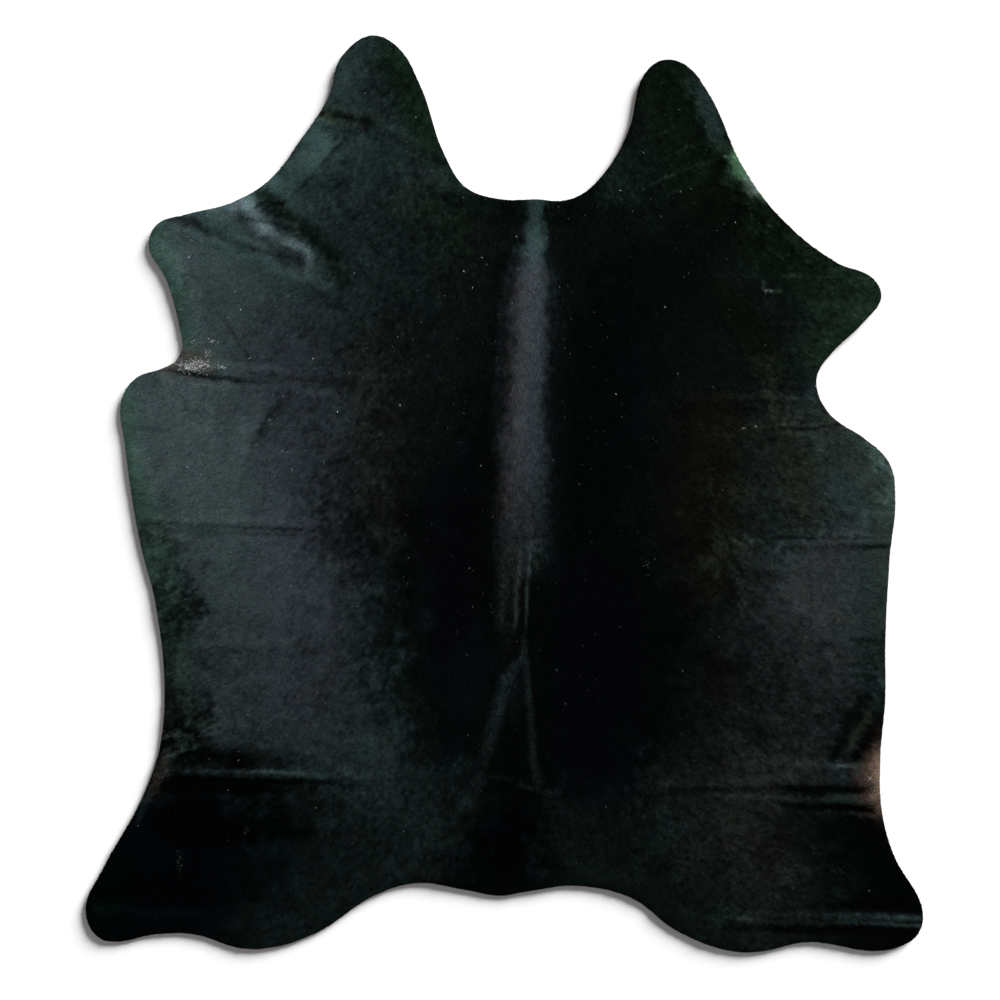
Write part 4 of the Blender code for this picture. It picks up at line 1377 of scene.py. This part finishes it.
def hair_side_material():
    """The skin's upper side, seen between the locks: the coat's colour with its painted sheen and shade,
    over fine grain.
    """
    shader = Shader("hair_side")
    place = shader.place()
    hairs = shader.noise(place, 700.0, 3.0, 0.6)
    pores = shader.node("ShaderNodeTexVoronoi", {"feature": "F1"}, {"Vector": place, "Scale": 900.0})
    return shader.finish(
        Base_Color=shader.scaled(shader.stored("coat_colour_and_painted_light"), 0.75 + 0.5 * hairs),
        Roughness=0.7 - 0.1 * hairs,
        Normal=shader.raised(0.6 * hairs + 0.4 * pores, 0.3 * MM, 0.6),
        Specular_IOR_Level=bpy.context.scene.hide_coat.gloss,
    )


def flesh_side_material():
    """The napped flesh side and the cut edge: pale suede with darker, shorter patches."""
    colour = tuple(bpy.context.scene.hide_skin.flesh_colour)
    shader = Shader("flesh_side")
    place = shader.place()
    clouds = shader.noise(place, 7.0, 5.0, 0.6)
    veins = shader.noise(shader.stretched(place, (1.0, 0.45, 1.0)), 34.0, 4.0, 0.55)
    fibres = shader.noise(place, 620.0, 4.0, 0.7)
    pale = shader.scaled(colour, 0.74 + 0.3 * clouds + 0.22 * fibres)
    dark = (*(0.55 * channel for channel in colour), 1.0)
    mix = {0: 0.6 * veins * clouds, 6: pale, 7: dark}
    return shader.finish(
        Base_Color=shader.node("ShaderNodeMix", {"data_type": "RGBA"}, mix, output=2),
        Roughness=0.86 + 0.1 * fibres,
        Normal=shader.raised(0.7 * fibres + 0.3 * veins, 0.5 * MM, 0.7),
        Specular_IOR_Level=0.25,
    )


def floor_material():
    """A pale, matt floor with a faint unevenness."""
    shader = Shader("pale_floor")
    clouds = shader.noise(shader.place(), 1.5, 3.0)
    tone = (bpy.context.scene.hide_stage.floor_tone,) * 3
    return shader.finish(
        Base_Color=shader.scaled(tone, 0.985 + 0.02 * clouds), Roughness=0.9, Specular_IOR_Level=0.1,
    )


# ---- The stage ----

def build_floor(settings):
    """The floor: a plane shaped in edit mode and far larger than the hide."""
    deselect_everything()
    bpy.ops.mesh.primitive_plane_add(size=settings.floor_size, location=(0, 0, 0))
    floor = bpy.context.object
    floor.name = "floor"
    bpy.ops.object.mode_set(mode="EDIT")
    bpy.ops.mesh.subdivide(number_cuts=3)
    bpy.ops.object.mode_set(mode="OBJECT")
    floor.data.materials.append(floor_material())


def build_lights(settings):
    """An even, soft light from the upper right, low over the floor, and a bright room."""
    key = bpy.data.lights.new("key_light", "SUN")
    key.energy = settings.key_strength
    key.angle = settings.key_softness
    lamp = bpy.data.objects.new("key_light", key)
    height, side = settings.key_height, settings.key_side
    toward = -Vector((np.cos(height) * np.cos(side), np.cos(height) * np.sin(side), np.sin(height)))
    lamp.rotation_euler = toward.to_track_quat("-Z", "Y").to_euler()
    lamp.location = -LAMP_FAR * toward
    bpy.context.scene.collection.objects.link(lamp)
    world = bpy.data.worlds.new("bright_room")
    bpy.context.scene.world = world
    world.use_nodes = True
    background = world.node_tree.nodes["Background"]
    background.inputs["Color"].default_value = (1.0, 1.0, 1.0, 1.0)
    background.inputs["Strength"].default_value = settings.room_strength


def build_camera(settings):
    """The camera straight above the hide, with the neck at the top of the picture."""
    camera = bpy.data.cameras.new("camera")
    camera.sensor_width = SENSOR_WIDTH
    camera.lens = settings.lens
    above = bpy.data.objects.new("camera", camera)
    above.location = settings.camera_place
    bpy.context.scene.collection.objects.link(above)
    bpy.context.scene.camera = above


# ---- Settings, operators and panel ----

def amount(label, text, default, unit="NONE"):
    """A setting that is a number."""
    return FloatProperty(name=label, description=text, default=default, unit=unit)


def length(label, text, default):
    """A setting that is a length."""
    return amount(label, text, default, "LENGTH")


def angle(label, text, default):
    """A setting that is an angle."""
    return amount(label, text, default, "ROTATION")


def three(label, text, default, subtype):
    """A setting with three numbers, such as a colour."""
    return FloatVectorProperty(name=label, description=text, default=default, size=3, subtype=subtype)


class HideSkinSettings(bpy.types.PropertyGroup):
    """Sizes of the skin."""

    thickness: length("Thickness", "Thickness of the tanned skin", 2.2 * MM)
    edge_step: length("Edge step", "Distance between points along the cut edge", 5 * MM)
    edge_inset: length("Edge inset", "How far the skin stops short of the coat's tips", 0.8 * MM)
    undercut: length("Undercut", "How far the cut slants in below the coat", 1.5 * MM)
    fine_step: length("Fine step", "Distance between points on wrinkles", 4.5 * MM)
    under_step: length("Underside step", "Distance between points on the underside's creases", 9 * MM)
    rim_lift: length("Rim lift", "How far the rim stands off the floor", 10 * MM)
    rim_reach: length("Rim reach", "How far in from the edge the rim lifts", 70 * MM)
    wrinkle_depth: amount("Wrinkle depth", "Height of a wrinkle for each step of its tone", 0.04 * MM)
    flesh_colour: three("Flesh side", "Colour of the napped underside", (0.46, 0.40, 0.33), "COLOR")


class HideCoatSettings(bpy.types.PropertyGroup):
    """Sizes and colours of the coat."""

    lock_length: length("Lock length", "Length of a lock of hair", 10 * MM)
    lock_width: length("Lock width", "Width of a lock at its root", 3.0 * MM)
    lock_height: length("Lock height", "Height of a lock's crest over the skin", 0.45 * MM)
    lock_gap: length("Lock gap", "Distance between the roots of two locks", 4.5 * MM)
    lock_contrast: amount("Lock contrast", "How much the locks differ in tone", 0.06)
    overhang: length("Overhang", "How far the tips may reach past the cut edge", 0.6 * MM)
    tilt: amount("Tilt", "How far single locks tilt, as a slope", 0.07)
    scatter: angle("Scatter", "How far single locks turn from the nap", 0.14)
    lean: angle("Lean", "How far the nap turns out on the flanks", 1.2)
    lean_spread: length("Lean spread", "Distance from the spine at which the nap has mostly turned", 0.55)
    parting: length("Parting", "Where the coat parts along the spine", 0.045)
    base_tone: amount("Base tone", "Tone of the coat without sheen, in steps of 255", 2.8)
    # The wrinkles' tone is painted highlight on ridges and painted shade in valleys
    wrinkle_tone: amount("Wrinkle tone", "How much of the wrinkles' tone is in the coat", 0.8)
    gain: amount("Gain", "Coat colour for each part of the tone's light", 1.12)
    mottle: amount("Mottle", "How uneven the coat's dark grey is", 1.8)
    relief: amount("Relief", "How much of the skin's slope the coat's shading follows", 0.3)
    gloss: amount("Gloss", "Strength of the coat's reflections", 0.012)
    white_length: length("White hair length", "Length of a white hair that grows by itself", 5 * MM)
    white_width: length("White hair width", "Width of a small bundle of white hairs", 1.6 * MM)
    white_colour: three("White hair", "Colour of the white hairs", (0.93, 0.98, 1.0), "COLOR")
    singles: IntProperty(
        name="Single white hairs", description="Number of white hairs where they grow closest",
        default=2400,
    )
    single_tone: amount("Single hair's tone", "Tone of the faintest single hairs, in steps of 255", 33.0)


class HideStageSettings(bpy.types.PropertyGroup):
    """Sizes of the stage, its lights and its camera."""

    floor_size: length("Floor size", "Side of the square floor", 120.0)
    floor_tone: amount("Floor tone", "How pale the floor is, from 0 to 1", 0.9)
    key_strength: amount("Key strength", "Strength of the light from the upper right", 8.29)
    key_height: angle("Key height", "Height of the light above the floor", 0.38)
    key_side: angle("Key side", "Direction of the light, anticlockwise from the right", 0.85)
    key_softness: angle("Key softness", "Angle that the light covers", 0.56)
    room_strength: amount("Room strength", "Strength of the light from all sides", 0.2)
    lens: amount("Lens", "Focal length in millimetres on a 36 mm sensor", 74.8)
    camera_place: three("Camera", "Place of the camera", (-0.0102, -0.0143, 5.0), "XYZ")


class COWHIDE_OT_skin(bpy.types.Operator):
    """Make the skin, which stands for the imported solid"""

    bl_idname = "cowhide.skin"
    bl_label = "Make the skin"

    def execute(self, context):
        skin = build_skin()
        area = ring_area(cut_edge())
        return {"FINISHED"}


class COWHIDE_OT_coat(bpy.types.Operator):
    """Make the short black coat in four pieces"""

    bl_idname = "cowhide.coat"
    bl_label = "Make the coat"

    def execute(self, context):
        build_coat()
        return {"FINISHED"}


class COWHIDE_OT_white_hairs(bpy.types.Operator):
    """Make the white hairs that grow in the coat"""

    bl_idname = "cowhide.white_hairs"
    bl_label = "Make the white hairs"

    def execute(self, context):
        build_white_hairs()
        return {"FINISHED"}


class COWHIDE_OT_stage(bpy.types.Operator):
    """Make the floor, the lights and the camera"""

    bl_idname = "cowhide.stage"
    bl_label = "Make the stage"

    def execute(self, context):
        settings = context.scene.hide_stage
        build_camera(settings)
        build_floor(settings)
        build_lights(settings)
        context.scene.view_settings.view_transform = "Standard"
        return {"FINISHED"}


class COWHIDE_PT_panel(bpy.types.Panel):
    """The cowhide's settings and the buttons that make its pieces"""

    bl_idname = "COWHIDE_PT_panel"
    bl_label = "Cowhide"
    bl_space_type = "VIEW_3D"
    bl_region_type = "UI"
    bl_category = "Cowhide"

    def draw(self, context):
        for group in (context.scene.hide_skin, context.scene.hide_coat, context.scene.hide_stage):
            box = self.layout.box()
            for name in group.__annotations__:
                box.prop(group, name)
        for operator in OPERATORS:
            self.layout.operator(operator.bl_idname)


SETTINGS = {
    "hide_skin": HideSkinSettings,
    "hide_coat": HideCoatSettings,
    "hide_stage": HideStageSettings,
}
OPERATORS = (COWHIDE_OT_stage, COWHIDE_OT_skin, COWHIDE_OT_coat, COWHIDE_OT_white_hairs)
CLASSES = (*SETTINGS.values(), *OPERATORS, COWHIDE_PT_panel)


def register():
    """Register the settings, the operators and the panel."""
    for group in CLASSES:
        bpy.utils.register_class(group)
    for name, group in SETTINGS.items():
        setattr(bpy.types.Scene, name, PointerProperty(type=group))


def unregister():
    """Take back everything that register added."""
    for name in SETTINGS:
        delattr(bpy.types.Scene, name)
    for group in reversed(CLASSES):
        bpy.utils.unregister_class(group)


def main():
    """Make the stage and the hide."""
    register()
    bpy.ops.cowhide.stage()
    bpy.ops.cowhide.skin()
    bpy.ops.cowhide.coat()
    bpy.ops.cowhide.white_hairs()


if __name__ == "__main__":
    main()
